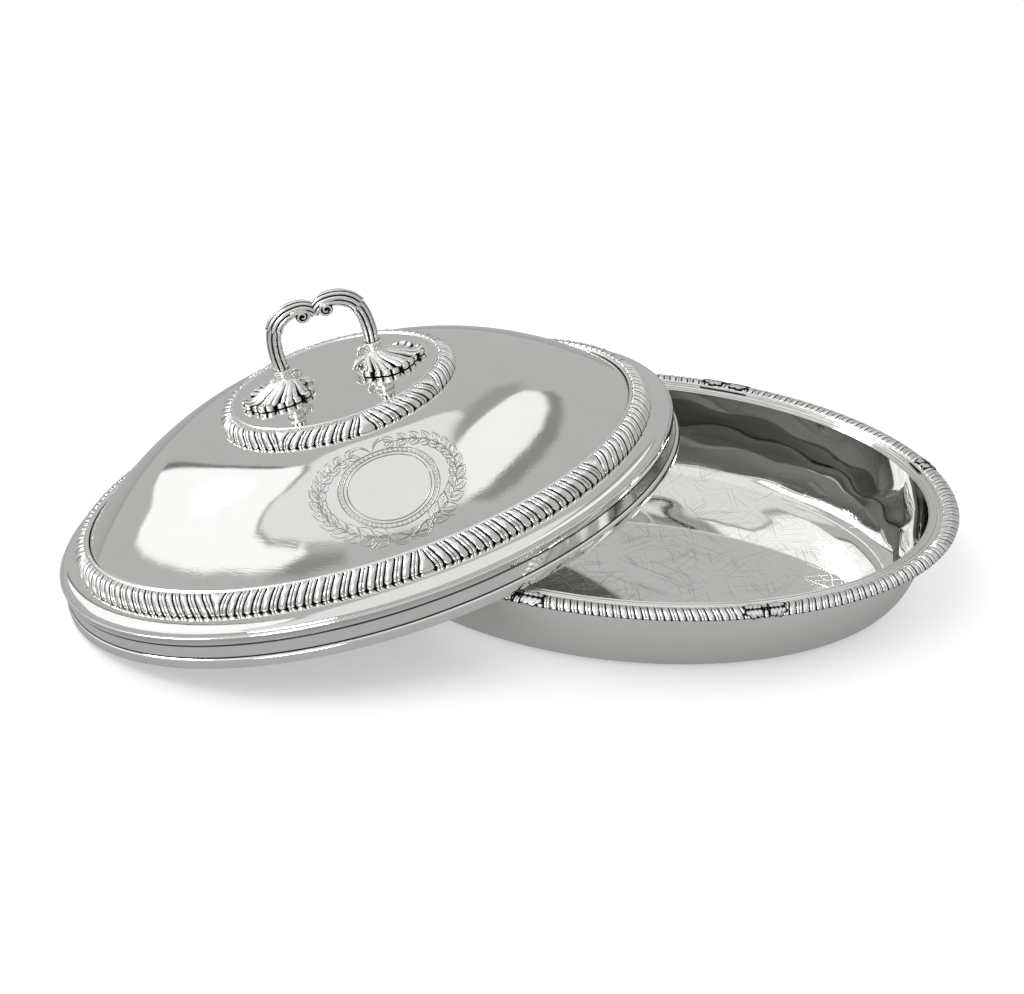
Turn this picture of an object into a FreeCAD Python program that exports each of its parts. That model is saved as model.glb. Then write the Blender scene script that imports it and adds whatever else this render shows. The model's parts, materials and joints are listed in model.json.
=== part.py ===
import FreeCAD, Part
import math
import os

# An oval entree dish in silver. Its domed cover leans on the rim, as it lies when taken off,
# and a cast scroll handle turns on the cover's flat top to lock. Lengths are in millimetres.
# The dish stands at the origin with its long axis along X. The cover and its handle are
# modelled upright about their own axis and then laid in the leaning place.

vector = FreeCAD.Vector
forward = vector(1, 0, 0)
sideways = vector(0, 1, 0)
upward = vector(0, 0, 1)
origin = vector(0, 0, 0)

# Fits
solderGap = 0.05
runningGap = 0.3
overrun = 3.0

# Dish
dishLength = 304.8
dishWidth = 228.6
dishHeight = 44.6
dishSheet = 1.4
rimGadroonWidth = 9.2
rimGadroonRise = 2.6
rimGadroonLand = 0.7
rimGadroonDrop = 2.3
rimGadroonOverhang = 1.9
rimLobeCount = 136
rimLobeDepth = 0.7
ledgeWidth = 5.2
reedWidth = 2.6
reedRise = 1.1
floorInset = 17.0

# Cover
coverLength = 296.2
coverWidth = 219.4
coverSheet = 1.2
wallHeight = 16.0
footWireHeight = 4.8
footWireWidth = 1.5
edgeWireHeight = 3.8
edgeWireWidth = 0.9
ovoloWidth = 11.0
ovoloRise = 4.4
shoulderLap = 2.0
shoulderBandWidth = 8.0
shoulderBandRise = 6.6
shoulderLand = 0.9
shoulderBulge = 1.2
shoulderLobeCount = 96
shoulderLobeDepth = 0.9
domeRise = 38.0
domeCurve = 1.8
plateauLength = 100.0
plateauWidth = 80.0
plateauStep = 6.0
plateauStepWidth = 4.0
plateauBorderWidth = 2.8
plateauOverhang = 1.6
plateauLand = 0.6
plateauBulge = 1.5
plateauLobeCount = 40
plateauLobeDepth = 0.9

# Handle
stemSpan = 42.0
stemRadius = 3.4
sheathRadius = 4.1
tipRadius = 2.4
reedCount = 8
reedGroove = 0.6
archRise = 27.0
neckHeight = 9.0
neckRadius = 3.7
collarHeight = 5.0
collarRadius = 4.6
voluteRadius = 3.7
voluteWidth = 6.2
footShift = 5.0
footLength = 32.6
footWidth = 27.0
footThickness = 1.8
footLobeCount = 14
footLobeDepth = 1.2
footScrollRadius = 2.5
footScrollWidth = 3.4

# Lock
studRadius = 2.0
studHeadRadius = 4.2
studHeadThickness = 1.8
lockPlateLength = 66.0
lockPlateWidth = 18.0
lockPlateThickness = 1.5
unlockAngle = 14.0

# Place of the cover beside the dish
coverTurn = 27.65
coverAlongShare = -0.375
coverAcrossShare = -0.164

# Slanted lobes change their lean at every eighth of a border
leanArcs = 8
leanShare = 0.3
rimStartShare = -0.0286

# A border's side and crest, in from its foot and up from it, as shares of its width and height,
# and what is left of the lobes' lean and depth there
sideInShare = 0.1
sideUpShare = 0.6
crestInShare = 0.45
bentLeanShare = 0.4
crestDepthShare = 0.3

# Other proportions of the pieces
reedCrestShare = 0.5
wireShoulderShare = 0.75
wireCrestShare = 0.6
plateCornerShare = 0.3
scrollSinkShare = 0.5

# Collar, from its foot up: shares of its height and of its radius
collarShares = [(0, 0.85), (0.25, 1), (0.5, 0.85), (0.75, 1), (1, 0.85)]

# Foot, from its rolled edge up: shares of the shift to the neck, of the rise and of the spread
footEdgeShare = 0.04
footShares = [(0.35, 0.4, 0.5), (0.8, 0.75, 0.12), (1, 1, 0)]

# Search for the place where the cover leans, in degrees
firstTilt = -13.0
firstRoll = -2.0
probeAngle = 0.05
searchRounds = 12
footPoints = 720
edgePoints = 1440
settledShare = 0.1

# Centre line of half the handle, as shares of half the span and of the arch's rise
archShares = [(1.0, 0.0), (1.03, 0.17), (1.03, 0.33), (1.0, 0.51), (0.93, 0.67),
              (0.81, 0.81), (0.63, 0.9), (0.38, 0.955), (0.2, 0.91), (0.125, 0.82)]
mouthIndex = 4
rollSides = 20
rollRoundShare = math.cos(math.pi / rollSides)
slotSteps = 3
voluteAlongShare = 0.27
voluteUpShare = 0.75


def halves(length, width):
    return (length / 2, width / 2)


def grown(size, offset):
    return (size[0] + offset, size[1] + offset)


# Sizes that follow from the driving ones
dishSize = halves(dishLength, dishWidth)
coverSize = halves(coverLength, coverWidth)
plateauSize = halves(plateauLength, plateauWidth)
wallSize = grown(coverSize, -footWireWidth)
flangeTop = dishHeight - rimGadroonRise
bowlOffset = -rimGadroonWidth - ledgeWidth
floorOffset = bowlOffset - floorInset
ovoloTop = wallHeight + ovoloRise
ovoloSize = grown(wallSize, -ovoloWidth)
shoulderSize = grown(ovoloSize, shoulderLap)
domeSize = grown(shoulderSize, -shoulderBandWidth)
domeFoot = ovoloTop + shoulderBandRise
domeTop = domeFoot + domeRise
stepSize = grown(plateauSize, plateauStepWidth)
plateauHeight = domeTop + plateauStep
plateUnder = plateauHeight - coverSheet - lockPlateThickness
footBottom = plateauHeight + runningGap
neckTop = plateauHeight + neckHeight
collarTop = neckTop + collarHeight
stemOffset = stemSpan / 2
footOffset = stemOffset + footShift

# Every oval is drawn with four arcs. The centres stand 1.5 and 2 times as far from the middle
# as the half sizes differ, so the arcs meet on a 3-4-5 triangle and offset ovals are parallel.
endCentreShare = 1.5
sideCentreShare = 2.0
joinAngle = math.atan2(sideCentreShare, endCentreShare)


def ovalArcs(size):
    # radius and centre of an end arc and of a side arc
    spread = size[0] - size[1]
    endCentre = endCentreShare * spread
    sideCentre = sideCentreShare * spread
    return size[0] - endCentre, endCentre, size[1] + sideCentre, sideCentre


def ovalPoint(size, z, turn):
    # the oval's point whose outward direction is at that angle
    endRadius, endCentre, sideRadius, sideCentre = ovalArcs(size)
    across = math.sin(turn)
    along = math.cos(turn)
    if abs(across) * endCentreShare <= abs(along) * sideCentreShare:
        return vector(math.copysign(endCentre, along) + endRadius * along, endRadius * across, z)
    return vector(sideRadius * along, sideRadius * across - math.copysign(sideCentre, across), z)


def ovalTurn(size, share):
    # outward direction after that share of the way round
    endRadius, endCentre, sideRadius, sideCentre = ovalArcs(size)
    endPart = endRadius * joinAngle
    sidePart = sideRadius * (math.pi / 2 - joinAngle)
    quarter = math.floor(share * 4)
    way = (share * 4 - quarter) * (endPart + sidePart)
    if quarter % 2 == 1:
        way = endPart + sidePart - way
    turn = way / endRadius if way < endPart else joinAngle + (way - endPart) / sideRadius
    if quarter % 2 == 1:
        return (quarter + 1) * math.pi / 2 - turn
    return quarter * math.pi / 2 + turn


def arcTurns(endSides, sideSides):
    # directions of an oval's corners: so many flats to half an end arc and to half a side arc
    quarter = [joinAngle * step / endSides for step in range(endSides)]
    quarter += [joinAngle + (math.pi / 2 - joinAngle) * step / sideSides for step in range(sideSides)]
    half = quarter + [math.pi - turn for turn in [math.pi / 2] + quarter[:0:-1]]
    return half + [math.pi + turn for turn in half]


ovalTurns = arcTurns(8, 9)


def skin(loops, split):
    # a solid with flat faces through loops of as many points each, the lowest loop first;
    # split faces are triangles, for loops that lean against each other
    faces = []
    for lower, upper in zip(loops, loops[1:]):
        for index, point in enumerate(lower):
            after = (index + 1) % len(lower)
            corners = [point, lower[after], upper[after], upper[index]]
            if split:
                faces.append(Part.Face(Part.makePolygon(corners[:3] + corners[:1])))
                faces.append(Part.Face(Part.makePolygon([point, upper[after], upper[index], point])))
            else:
                faces.append(Part.Face(Part.makePolygon(corners + corners[:1])))
    for cap in (loops[0], loops[-1]):
        faces.append(Part.Face(Part.makePolygon(cap + cap[:1])))
    solid = Part.Solid(Part.makeShell(faces))
    if solid.Volume < 0:
        solid.reverse()
    return solid


def ovalPile(levels):
    # a solid through ovals, from the lowest up; a level is half sizes and a height
    return skin([[ovalPoint(size, z, turn) for turn in ovalTurns] for size, z in levels], False)


def straightOval(size, low, high):
    return ovalPile([(size, low), (size, high)])


def circleLoop(center, radius, sides):
    turns = [2 * math.pi * side / sides for side in range(sides)]
    return [center + vector(radius * math.cos(turn), radius * math.sin(turn), 0) for turn in turns]


def lobedPile(reference, pattern, lobes, levels):
    # a solid with a ridge along the middle of each lobe and a valley between two lobes;
    # a level is half sizes, a height, how far valleys draw in and dip, and the lobes' lean
    loops = []
    for size, z, inward, downward, lean in levels:
        shares = []
        for lobe in range(lobes + 1):
            share = (lobe + 0.5) / lobes
            leanWay = 1 if int(share * leanArcs) % 2 == 0 else -1
            shares.append(share + leanWay * lean / lobes + pattern)
        points = []
        for lobe in range(lobes):
            valley = ovalTurn(reference, shares[lobe])
            ridge = ovalTurn(reference, (shares[lobe] + shares[lobe + 1]) / 2)
            points.append(ovalPoint(grown(size, -inward), z - downward, valley))
            points.append(ovalPoint(size, z, ridge))
        loops.append(points)
    return skin(loops, True)


def borderLevels(outerSize, width, low, high, inner, depth):
    # a border of lobes hung over a step: its foot, its full side, its crest and its inner edge
    sideSize = grown(outerSize, -width * sideInShare)
    crestSize = grown(outerSize, -width * crestInShare)
    return [
        (outerSize, low, depth, 0, leanShare),
        (sideSize, low + (high - low) * sideUpShare, depth, 0, leanShare * bentLeanShare),
        (crestSize, high, depth * crestDepthShare, depth, -leanShare * bentLeanShare),
        (grown(outerSize, -width), inner, 0, 0, -leanShare),
    ]


def makeDishBowl():
    # raised sheet: flat floor, a quarter round wall and a flat rim
    outside = []
    inside = []
    wallSteps = 4
    for step in range(wallSteps + 1):
        angle = math.pi / 2 * step / wallSteps
        run = math.sin(angle)
        rise = 1 - math.cos(angle)
        outside.append((grown(dishSize, floorOffset + (floorInset + dishSheet) * run),
                        (flangeTop - dishSheet) * rise))
        inside.append((grown(dishSize, floorOffset + floorInset * run),
                       dishSheet + (flangeTop - dishSheet) * rise))
    flange = straightOval(grown(dishSize, -rimGadroonOverhang), flangeTop - dishSheet, flangeTop)
    return ovalPile(outside).fuse(flange).cut(ovalPile(inside))


rimLevels = borderLevels(dishSize, rimGadroonWidth, flangeTop - rimGadroonDrop, dishHeight,
                         flangeTop + rimGadroonLand, rimLobeDepth)


def makeRimGadroon():
    # border of slanted lobes, laid on the flat rim and turned down over its edge
    band = lobedPile(dishSize, rimStartShare, rimLobeCount, rimLevels)
    low = flangeTop - rimGadroonDrop - overrun
    edge = grown(dishSize, -rimGadroonOverhang)
    bore = grown(dishSize, -rimGadroonWidth - solderGap)
    band = band.cut(straightOval(grown(edge, solderGap), low, flangeTop))
    return band.cut(straightOval(bore, low, dishHeight + overrun))


def makeRimReed():
    # plain moulding on the ledge, between the border and the bowl
    outer = -rimGadroonWidth - (ledgeWidth - reedWidth) / 2
    inner = grown(dishSize, outer - reedWidth)
    moulding = ovalPile([(grown(dishSize, outer), flangeTop),
                         (grown(dishSize, outer - reedWidth * reedCrestShare), flangeTop + reedRise)])
    return moulding.cut(straightOval(inner, flangeTop - overrun, flangeTop + overrun))


def coverLevels(thickness, ovoloSteps, domeSteps):
    # the cover's sheet from the wall to the flat top: its outside, or its inside by a thickness
    levels = []
    for step in range(ovoloSteps + 1):
        angle = math.pi / 2 * step / ovoloSteps
        inset = thickness + (ovoloWidth - thickness) * (1 - math.cos(angle))
        levels.append((grown(wallSize, -inset), wallHeight + (ovoloRise - thickness) * math.sin(angle)))
    dome = grown(domeSize, -thickness)
    top = grown(stepSize, -thickness)
    for step in range(domeSteps + 1):
        up = step / domeSteps
        size = (dome[0] + (top[0] - dome[0]) * up, dome[1] + (top[1] - dome[1]) * up)
        levels.append((size, domeTop - domeRise * (1 - up) ** domeCurve - thickness))
    levels.append((grown(plateauSize, -thickness), plateauHeight - thickness))
    return levels


def cutKeyholes(shape, low, high):
    # two curved slots for the studs' necks, each opening into a hole that the head can pass
    slotRadius = studRadius + runningGap
    turns = [math.radians(unlockAngle) * step / slotSteps for step in range(slotSteps + 1)]
    ways = [(stemOffset + slotRadius, turn) for turn in turns]
    ways += [(stemOffset - slotRadius, turn) for turn in reversed(turns)]
    slot = skin([[vector(reach * math.cos(turn), reach * math.sin(turn), z) for reach, turn in ways]
                 for z in (low, high)], False)
    for radius, turn in ((slotRadius, turns[0]), (studHeadRadius + runningGap, turns[-1])):
        centers = [vector(stemOffset * math.cos(turn), stemOffset * math.sin(turn), z) for z in (low, high)]
        slot = slot.fuse(skin([circleLoop(center, radius / rollRoundShare, rollSides) for center in centers],
                              False))
    for turn in (0, 180):
        slot.rotate(origin, upward, turn)
        shape = shape.cut(slot)
    return shape


def makeCoverDome():
    # one raised sheet: flat top, step, dome, shoulder and a quarter round down to the wall
    outside = ovalPile(coverLevels(0, 2, 4))
    inside = ovalPile(coverLevels(coverSheet, 1, 3))
    return cutKeyholes(outside.cut(inside), plateauHeight - overrun, plateauHeight + overrun)


def makeCoverWall():
    # upright strip that the domed sheet stands on
    strip = straightOval(wallSize, 0, wallHeight)
    return strip.cut(straightOval(grown(wallSize, -coverSheet), -overrun, wallHeight + overrun))


def makeEdgeWire():
    # drawn wire round the top of the wall
    low = wallHeight - edgeWireHeight
    wire = straightOval(grown(wallSize, edgeWireWidth), low, wallHeight)
    return wire.cut(straightOval(grown(wallSize, solderGap), low - overrun, wallHeight + overrun))


def makeFootWire():
    # heavier wire round the foot of the wall, sloped on top
    wire = ovalPile([(coverSize, 0), (coverSize, footWireHeight * wireShoulderShare),
                     (grown(coverSize, -footWireWidth * wireCrestShare), footWireHeight)])
    return wire.cut(straightOval(grown(wallSize, solderGap), -overrun, footWireHeight + overrun))


def makeShoulderGadroon():
    # border over the step between the dome and the quarter round
    low = ovoloTop + solderGap
    high = domeFoot + shoulderLand
    levels = borderLevels(shoulderSize, shoulderBandWidth - solderGap, low, high + shoulderBulge, high,
                          shoulderLobeDepth)
    band = lobedPile(shoulderSize, 0, shoulderLobeCount, levels)
    foot = grown(ovoloSize, solderGap)
    bore = grown(domeSize, solderGap)
    return band.cut(ovalPile([(foot, low - overrun), (foot, low), (bore, domeFoot), (bore, high + overrun)]))


def makePlateauGadroon():
    # smaller border over the step at the edge of the flat top
    outerSize = grown(stepSize, plateauOverhang)
    innerSize = grown(plateauSize, -plateauBorderWidth)
    high = plateauHeight + plateauLand
    levels = borderLevels(outerSize, outerSize[0] - innerSize[0], domeTop, high + plateauBulge, high,
                          plateauLobeDepth)
    band = lobedPile(outerSize, 0, plateauLobeCount, levels)
    foot = grown(stepSize, solderGap)
    edge = grown(plateauSize, solderGap)
    band = band.cut(ovalPile([(foot, domeTop - overrun), (foot, domeTop), (edge, plateauHeight)]))
    return band.cut(straightOval(grown(innerSize, -solderGap), domeTop, high + overrun))


def makeLockPlate():
    # plate under the flat top, with the same two keyholes
    corner = vector(-lockPlateLength / 2, -lockPlateWidth / 2, plateUnder)
    plate = Part.makeBox(lockPlateLength, lockPlateWidth, lockPlateThickness, corner)
    corners = [edge for edge in plate.Edges if edge.Vertexes[0].Z != edge.Vertexes[-1].Z]
    plate = plate.makeChamfer(lockPlateWidth * plateCornerShare, corners)
    return cutKeyholes(plate, plateUnder - overrun, plateauHeight)


archPoints = [(stemOffset * along, collarTop + archRise * up) for along, up in archShares]


def reededBar(first, last, radii):
    # bar along the centre line, with a ridge on each reed
    loops = []
    for index in range(first, last + 1):
        before = archPoints[index - 1] if index > 0 else (stemOffset, neckTop)
        after = archPoints[index + 1] if 0 < index < len(archPoints) - 1 else archPoints[index]
        length = math.dist(before, after)
        alongX = (after[0] - before[0]) / length
        alongZ = (after[1] - before[1]) / length
        points = []
        for side in range(reedCount * 2):
            reach = radii[index - first] - reedGroove * (side % 2)
            angle = math.pi * side / reedCount
            across = reach * math.cos(angle)
            points.append(vector(archPoints[index][0] + across * alongZ, reach * math.sin(angle),
                                 archPoints[index][1] - across * alongX))
        loops.append(points)
    return skin(loops, True)


def crossRoll(x, z, radius, width):
    # a round roll that lies across the handle, square to its arch
    roll = skin([circleLoop(vector(0, 0, side * width / 2), radius, rollSides) for side in (-1, 1)], False)
    roll.rotate(origin, forward, 90)
    roll.translate(vector(x, 0, z))
    return roll


def makeStem():
    # reeded stem from the collar to the mouth of the sheath
    return reededBar(0, mouthIndex, [stemRadius] * (mouthIndex + 1))


def makeScroll():
    # thicker reeded sheath over the crown, tapered into a volute under it
    last = len(archPoints) - 1
    radii = []
    for index in range(mouthIndex, last + 1):
        along = (index - mouthIndex) / (last - mouthIndex)
        radii.append(sheathRadius + (tipRadius - sheathRadius) * along ** 3)
    volute = crossRoll(stemOffset * voluteAlongShare, collarTop + archRise * voluteUpShare, voluteRadius,
                       voluteWidth)
    half = Part.makeBox(stemSpan, stemSpan, archRise * 2, vector(solderGap / 2, -stemOffset, collarTop))
    return reededBar(mouthIndex, last, radii).fuse(volute).common(half)


def makeCollar():
    # turned collar between the foot and the stem
    levels = [(neckTop + collarHeight * up, collarRadius * wide) for up, wide in collarShares]
    return skin([circleLoop(vector(stemOffset, 0, z), radius, rollSides) for z, radius in levels], False)


def makeFoot():
    # scalloped shell foot whose flutes gather into the neck, with a small scroll inside
    size = halves(footLength, footWidth)
    neck = (neckRadius, neckRadius)
    rise = neckTop - footBottom
    shares = [(0, 0, 1), (footEdgeShare, footThickness / rise, 1)] + footShares
    loops = []
    for shift, up, spread in shares:
        half = [neck[axis] + (size[axis] - neck[axis]) * spread for axis in (0, 1)]
        center = footOffset - footShift * shift
        points = []
        for side in range(footLobeCount * 2):
            angle = math.pi * side / footLobeCount
            reach = 1 if side % 2 == 0 else 1 - footLobeDepth / size[1]
            along = center + half[0] * reach * math.cos(angle)
            across = half[1] * reach * math.sin(angle)
            points.append(vector(along, across, footBottom + rise * up))
        loops.append(points)
    scrollOffset = stemOffset - neckRadius - footScrollRadius * scrollSinkShare
    scroll = crossRoll(scrollOffset, neckTop - footScrollRadius, footScrollRadius, footScrollWidth)
    return skin(loops, True).fuse(scroll)


def makeStud():
    # lock stud under the foot: a neck through the slots and a head under the lock plate
    headTop = plateUnder - runningGap
    heights = [headTop - studHeadThickness, headTop, footBottom]
    centers = [vector(stemOffset, 0, z) for z in heights]
    head = skin([circleLoop(center, studHeadRadius, rollSides) for center in centers[:2]], False)
    neck = skin([circleLoop(center, studRadius, rollSides) for center in centers[1:]], False)
    return head.fuse(neck)


def profileHeight(offset):
    # height of the rim border's ridges at a distance in from its outer edge
    places = [(dishSize[0] - size[0], z) for size, z, inward, downward, lean in rimLevels]
    for (near, nearZ), (far, farZ) in zip(places, places[1:]):
        if near <= offset <= far:
            return nearZ + (farZ - nearZ) * (offset - near) / (far - near)
    return None


def rimOffset(x, y):
    # how far a place in plan lies inside the dish's outer edge
    endRadius, endCentre, sideRadius, sideCentre = ovalArcs(dishSize)
    x = abs(x)
    y = abs(y)
    if y * endCentreShare <= (x - endCentre) * sideCentreShare:
        return endRadius - math.hypot(x - endCentre, y)
    return sideRadius - math.hypot(x, y + sideCentre)


def leaningPlace(tilt, roll):
    turn = FreeCAD.Rotation(upward, coverTurn)
    turn = turn.multiply(FreeCAD.Rotation(sideways, tilt))
    turn = turn.multiply(FreeCAD.Rotation(forward, roll))
    flat = FreeCAD.Placement(vector(dishLength * coverAlongShare, dishWidth * coverAcrossShare, 0), turn)
    angles = [2 * math.pi * index / footPoints for index in range(footPoints)]
    foot = [flat.multVec(ovalPoint(coverSize, 0, angle)) for angle in angles]
    flat.move(vector(0, 0, -min(point.z for point in foot)))
    return flat


def crossingGaps(tilt, roll):
    # least height of the cover's lower edges over the rim at each of their two crossings
    place = leaningPlace(tilt, roll)
    gaps = [dishHeight, dishHeight]
    for size in (coverSize, grown(wallSize, -coverSheet)):
        for index in range(edgePoints):
            point = place.multVec(ovalPoint(size, 0, 2 * math.pi * index / edgePoints))
            height = profileHeight(rimOffset(point.x, point.y))
            if height is not None:
                end = 0 if point.y < place.Base.y else 1
                gaps[end] = min(gaps[end], point.z - height)
    return gaps


def settledPlace():
    # tilt and roll at which the cover stands on the table and clears the rim alike at both crossings
    angles = [firstTilt, firstRoll]
    for attempt in range(searchRounds):
        gaps = crossingGaps(*angles)
        tiltGaps = crossingGaps(angles[0] + probeAngle, angles[1])
        rollGaps = crossingGaps(angles[0], angles[1] + probeAngle)
        slopes = []
        for end in (0, 1):
            slopes.append([(moved[end] - gaps[end]) / probeAngle for moved in (tiltGaps, rollGaps)])
        misses = [runningGap - gap for gap in gaps]
        spread = slopes[0][0] * slopes[1][1] - slopes[0][1] * slopes[1][0]
        angles[0] += (misses[0] * slopes[1][1] - misses[1] * slopes[0][1]) / spread
        angles[1] += (misses[1] * slopes[0][0] - misses[0] * slopes[1][0]) / spread
        if max(abs(miss) for miss in misses) < solderGap * settledShare:
            break
    print("cover tilt and roll in degrees:", round(angles[0], 3), round(angles[1], 3))
    return leaningPlace(*angles)


dishPieces = {
    "dish_bowl": makeDishBowl,
    "dish_rim_gadroon": makeRimGadroon,
    "dish_rim_reed": makeRimReed,
}
coverPieces = {
    "cover_dome": makeCoverDome,
    "cover_wall": makeCoverWall,
    "cover_edge_wire": makeEdgeWire,
    "cover_foot_wire": makeFootWire,
    "cover_shoulder_gadroon": makeShoulderGadroon,
    "cover_plateau_gadroon": makePlateauGadroon,
    "lock_plate": makeLockPlate,
}
handlePieces = {
    "handle_foot": makeFoot,
    "handle_collar": makeCollar,
    "handle_stem": makeStem,
    "handle_scroll": makeScroll,
    "lock_stud": makeStud,
}


def export(name, shape):
    solid = shape.Solids[0]
    if len(shape.Solids) != 1 or not solid.isValid():
        raise ValueError(name + " is not one sound solid")
    solid.exportStep("parts/" + name + ".step")
    print(name, round(solid.Volume))


def buildAll():
    os.makedirs("parts", exist_ok=True)
    leaning = settledPlace()
    print("cover axis foot:", leaning.Base, "axis:", leaning.Rotation.multVec(upward))
    for name, make in dishPieces.items():
        export(name, make())
    for name, make in coverPieces.items():
        export(name, make().transformed(leaning.toMatrix()))
    for name, make in handlePieces.items():
        right = make()
        left = right.copy()
        left.rotate(origin, upward, 180)
        export(name + "_right", right.transformed(leaning.toMatrix()))
        export(name + "_left", left.transformed(leaning.toMatrix()))


buildAll()
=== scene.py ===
import bpy
import bmesh
import json
import math
import numpy as np
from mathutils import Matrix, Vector


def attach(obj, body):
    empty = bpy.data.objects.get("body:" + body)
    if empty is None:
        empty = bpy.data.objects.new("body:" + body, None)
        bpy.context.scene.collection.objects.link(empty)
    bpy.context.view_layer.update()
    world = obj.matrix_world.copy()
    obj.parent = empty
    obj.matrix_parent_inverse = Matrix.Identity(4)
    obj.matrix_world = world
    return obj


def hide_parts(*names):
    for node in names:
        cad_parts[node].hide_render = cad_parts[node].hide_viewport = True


# Oval silver entree dish with its cover leaning on the rim. Lengths in the dictionaries are
# millimetres. The cover and the handle are drawn about the cover's own axis and then laid down.

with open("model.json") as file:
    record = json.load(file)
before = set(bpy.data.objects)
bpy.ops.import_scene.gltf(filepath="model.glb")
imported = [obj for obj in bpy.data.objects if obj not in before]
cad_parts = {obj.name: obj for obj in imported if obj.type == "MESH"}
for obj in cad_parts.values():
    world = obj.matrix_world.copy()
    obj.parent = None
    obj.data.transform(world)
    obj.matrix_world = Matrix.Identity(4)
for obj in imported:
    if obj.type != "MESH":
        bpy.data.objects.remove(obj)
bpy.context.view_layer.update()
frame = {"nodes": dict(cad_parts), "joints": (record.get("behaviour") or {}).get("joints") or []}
jointByName = {joint["name"]: joint for joint in frame["joints"]}


def middleOf(node):
    verts = frame["nodes"][node].data.vertices
    spots = np.zeros(len(verts) * 3)
    verts.foreach_get("co", spots)
    return Vector(spots.reshape(-1, 3).mean(0)) * 1000


cover = {
    "wall": (146.6, 107.6), "wallHeight": 16.0, "sheet": 1.2,
    "ovoloWidth": 11.0, "ovoloRise": 4.4, "domeInset": 17.0, "domeFoot": 27.0,
    "domeTop": 65.0, "domeCurve": 1.8, "step": (54.0, 44.0), "top": (50.0, 40.0), "topHeight": 71.0,
    "collarMiddle": 82.5,
}

# frame of the leaning cover, from the CAD collars and the axis that the handle turns on
rightCollar = middleOf("handle_collar_right")
leftCollar = middleOf("handle_collar_left")
coverUp = Vector(jointByName["handle_turn"]["axis"]).normalized()
coverAlong = (rightCollar - leftCollar).normalized()
coverAcross = coverUp.cross(coverAlong)
coverBase = (rightCollar + leftCollar) / 2 - coverUp * cover["collarMiddle"]
coverTurn = np.array([coverAlong, coverAcross, coverUp])


def laid(spots):
    return np.asarray(spots) @ coverTurn + np.array(coverBase)


# ---- small helpers

def linear(hexColour):
    shades = [int(hexColour[i:i + 2], 16) / 255 for i in (1, 3, 5)]
    return [s / 12.92 if s <= 0.04045 else ((s + 0.055) / 1.055) ** 2.4 for s in shades] + [1.0]


def addNode(tree, kind, links=None, **settings):
    node = tree.nodes.new(kind)
    node.location = (180 * (len(tree.nodes) % 12), -220 * (len(tree.nodes) // 12))
    for name, value in settings.items():
        setattr(node, name, value)
    for socket, value in (links or {}).items():
        if isinstance(value, bpy.types.NodeSocket):
            tree.links.new(value, node.inputs[socket])
        else:
            node.inputs[socket].default_value = value
    return node


def maths(tree, operation, *values, clamp=False):
    node = addNode(tree, "ShaderNodeMath", dict(enumerate(values)), operation=operation, use_clamp=clamp)
    return node.outputs[0]


def gridFaces(rows, columns, closeRows, closeColumns):
    row = np.arange(rows if closeRows else rows - 1)
    column = np.arange(columns if closeColumns else columns - 1)
    r, c = np.meshgrid(row, column, indexing="ij")
    nextR = (r + 1) % rows
    nextC = (c + 1) % columns
    quads = [r * columns + c, r * columns + nextC, nextR * columns + nextC, nextR * columns + c]
    return np.stack(quads, -1).reshape(-1, 4)


def tubeFaces(rows, count):
    # a stack of closed rings with its two ends capped
    caps = [list(range(count))[::-1], list(range((rows - 1) * count, rows * count))]
    return gridFaces(rows, count, False, True).tolist() + caps


def wayAlong(line):
    # distance from the start of a line to each of its corners
    return np.concatenate([[0], np.cumsum(np.linalg.norm(np.diff(line, axis=0), axis=1))])


def linked(name, data):
    item = bpy.data.objects.new(name, data)
    bpy.context.scene.collection.objects.link(item)
    return item


def makePiece(name, spots, faces, attributes=None, sharpAt=40):
    mesh = bpy.data.meshes.new(name)
    mesh.from_pydata((np.asarray(spots) * 0.001).tolist(), [], [list(map(int, face)) for face in faces])
    for label, values in (attributes or {}).items():
        mesh.attributes.new(label, "FLOAT", "POINT").data.foreach_set("value", np.asarray(values, np.float32))
    work = bmesh.new()
    work.from_mesh(mesh)
    bmesh.ops.recalc_face_normals(work, faces=work.faces)
    work.to_mesh(mesh)
    work.free()
    mesh.shade_smooth()
    if sharpAt:
        mesh.set_sharp_from_angle(angle=math.radians(sharpAt))
    return linked(name, mesh)


def joinParts(parts):
    # several (spots, faces, hollow) lists as one
    spots, faces, hollow, count = [], [], [], 0
    for partSpots, partFaces, partHollow in parts:
        spots.append(partSpots)
        faces += [[int(i) + count for i in face] for face in partFaces]
        hollow.append(partHollow)
        count += len(partSpots)
    return np.concatenate(spots), faces, np.concatenate(hollow)


def finishPiece(piece, body, slot, material, *nodes):
    piece.data.materials.clear()
    piece.data.materials.append(material)
    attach(piece, body)
    if nodes:
        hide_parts(*nodes)
    return piece


def circle(count):
    return np.linspace(0, 2 * math.pi, count, endpoint=False)


def ovalRing(size, offset, turns):
    # curve that runs beside an ellipse at that distance; a turn is its outward direction
    reach = np.hypot(size[0] * np.cos(turns), size[1] * np.sin(turns))
    x = (size[0] ** 2 / reach + offset) * np.cos(turns)
    y = (size[1] ** 2 / reach + offset) * np.sin(turns)
    return np.stack([x, y], -1)


def ringAt(size, offset, height, turns):
    return np.column_stack([ovalRing(size, offset, turns), np.full(len(turns), height)])


def sharesToTurns(size, shares):
    # turns at which shares of an oval's length are reached
    turns = np.linspace(0, 2 * math.pi, 8193)
    way = wayAlong(ovalRing(size, 0, turns))
    whole = np.floor(shares)
    return np.interp(shares - whole, way / way[-1], turns) + whole * 2 * math.pi


def sweptOval(size, profile, segments):
    # a closed profile of (offset, height) swept round an oval
    turns = circle(segments)
    rings = [ringAt(size, offset, height, turns) for offset, height in profile]
    return np.concatenate(rings), gridFaces(len(profile), segments, True, True)


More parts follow.
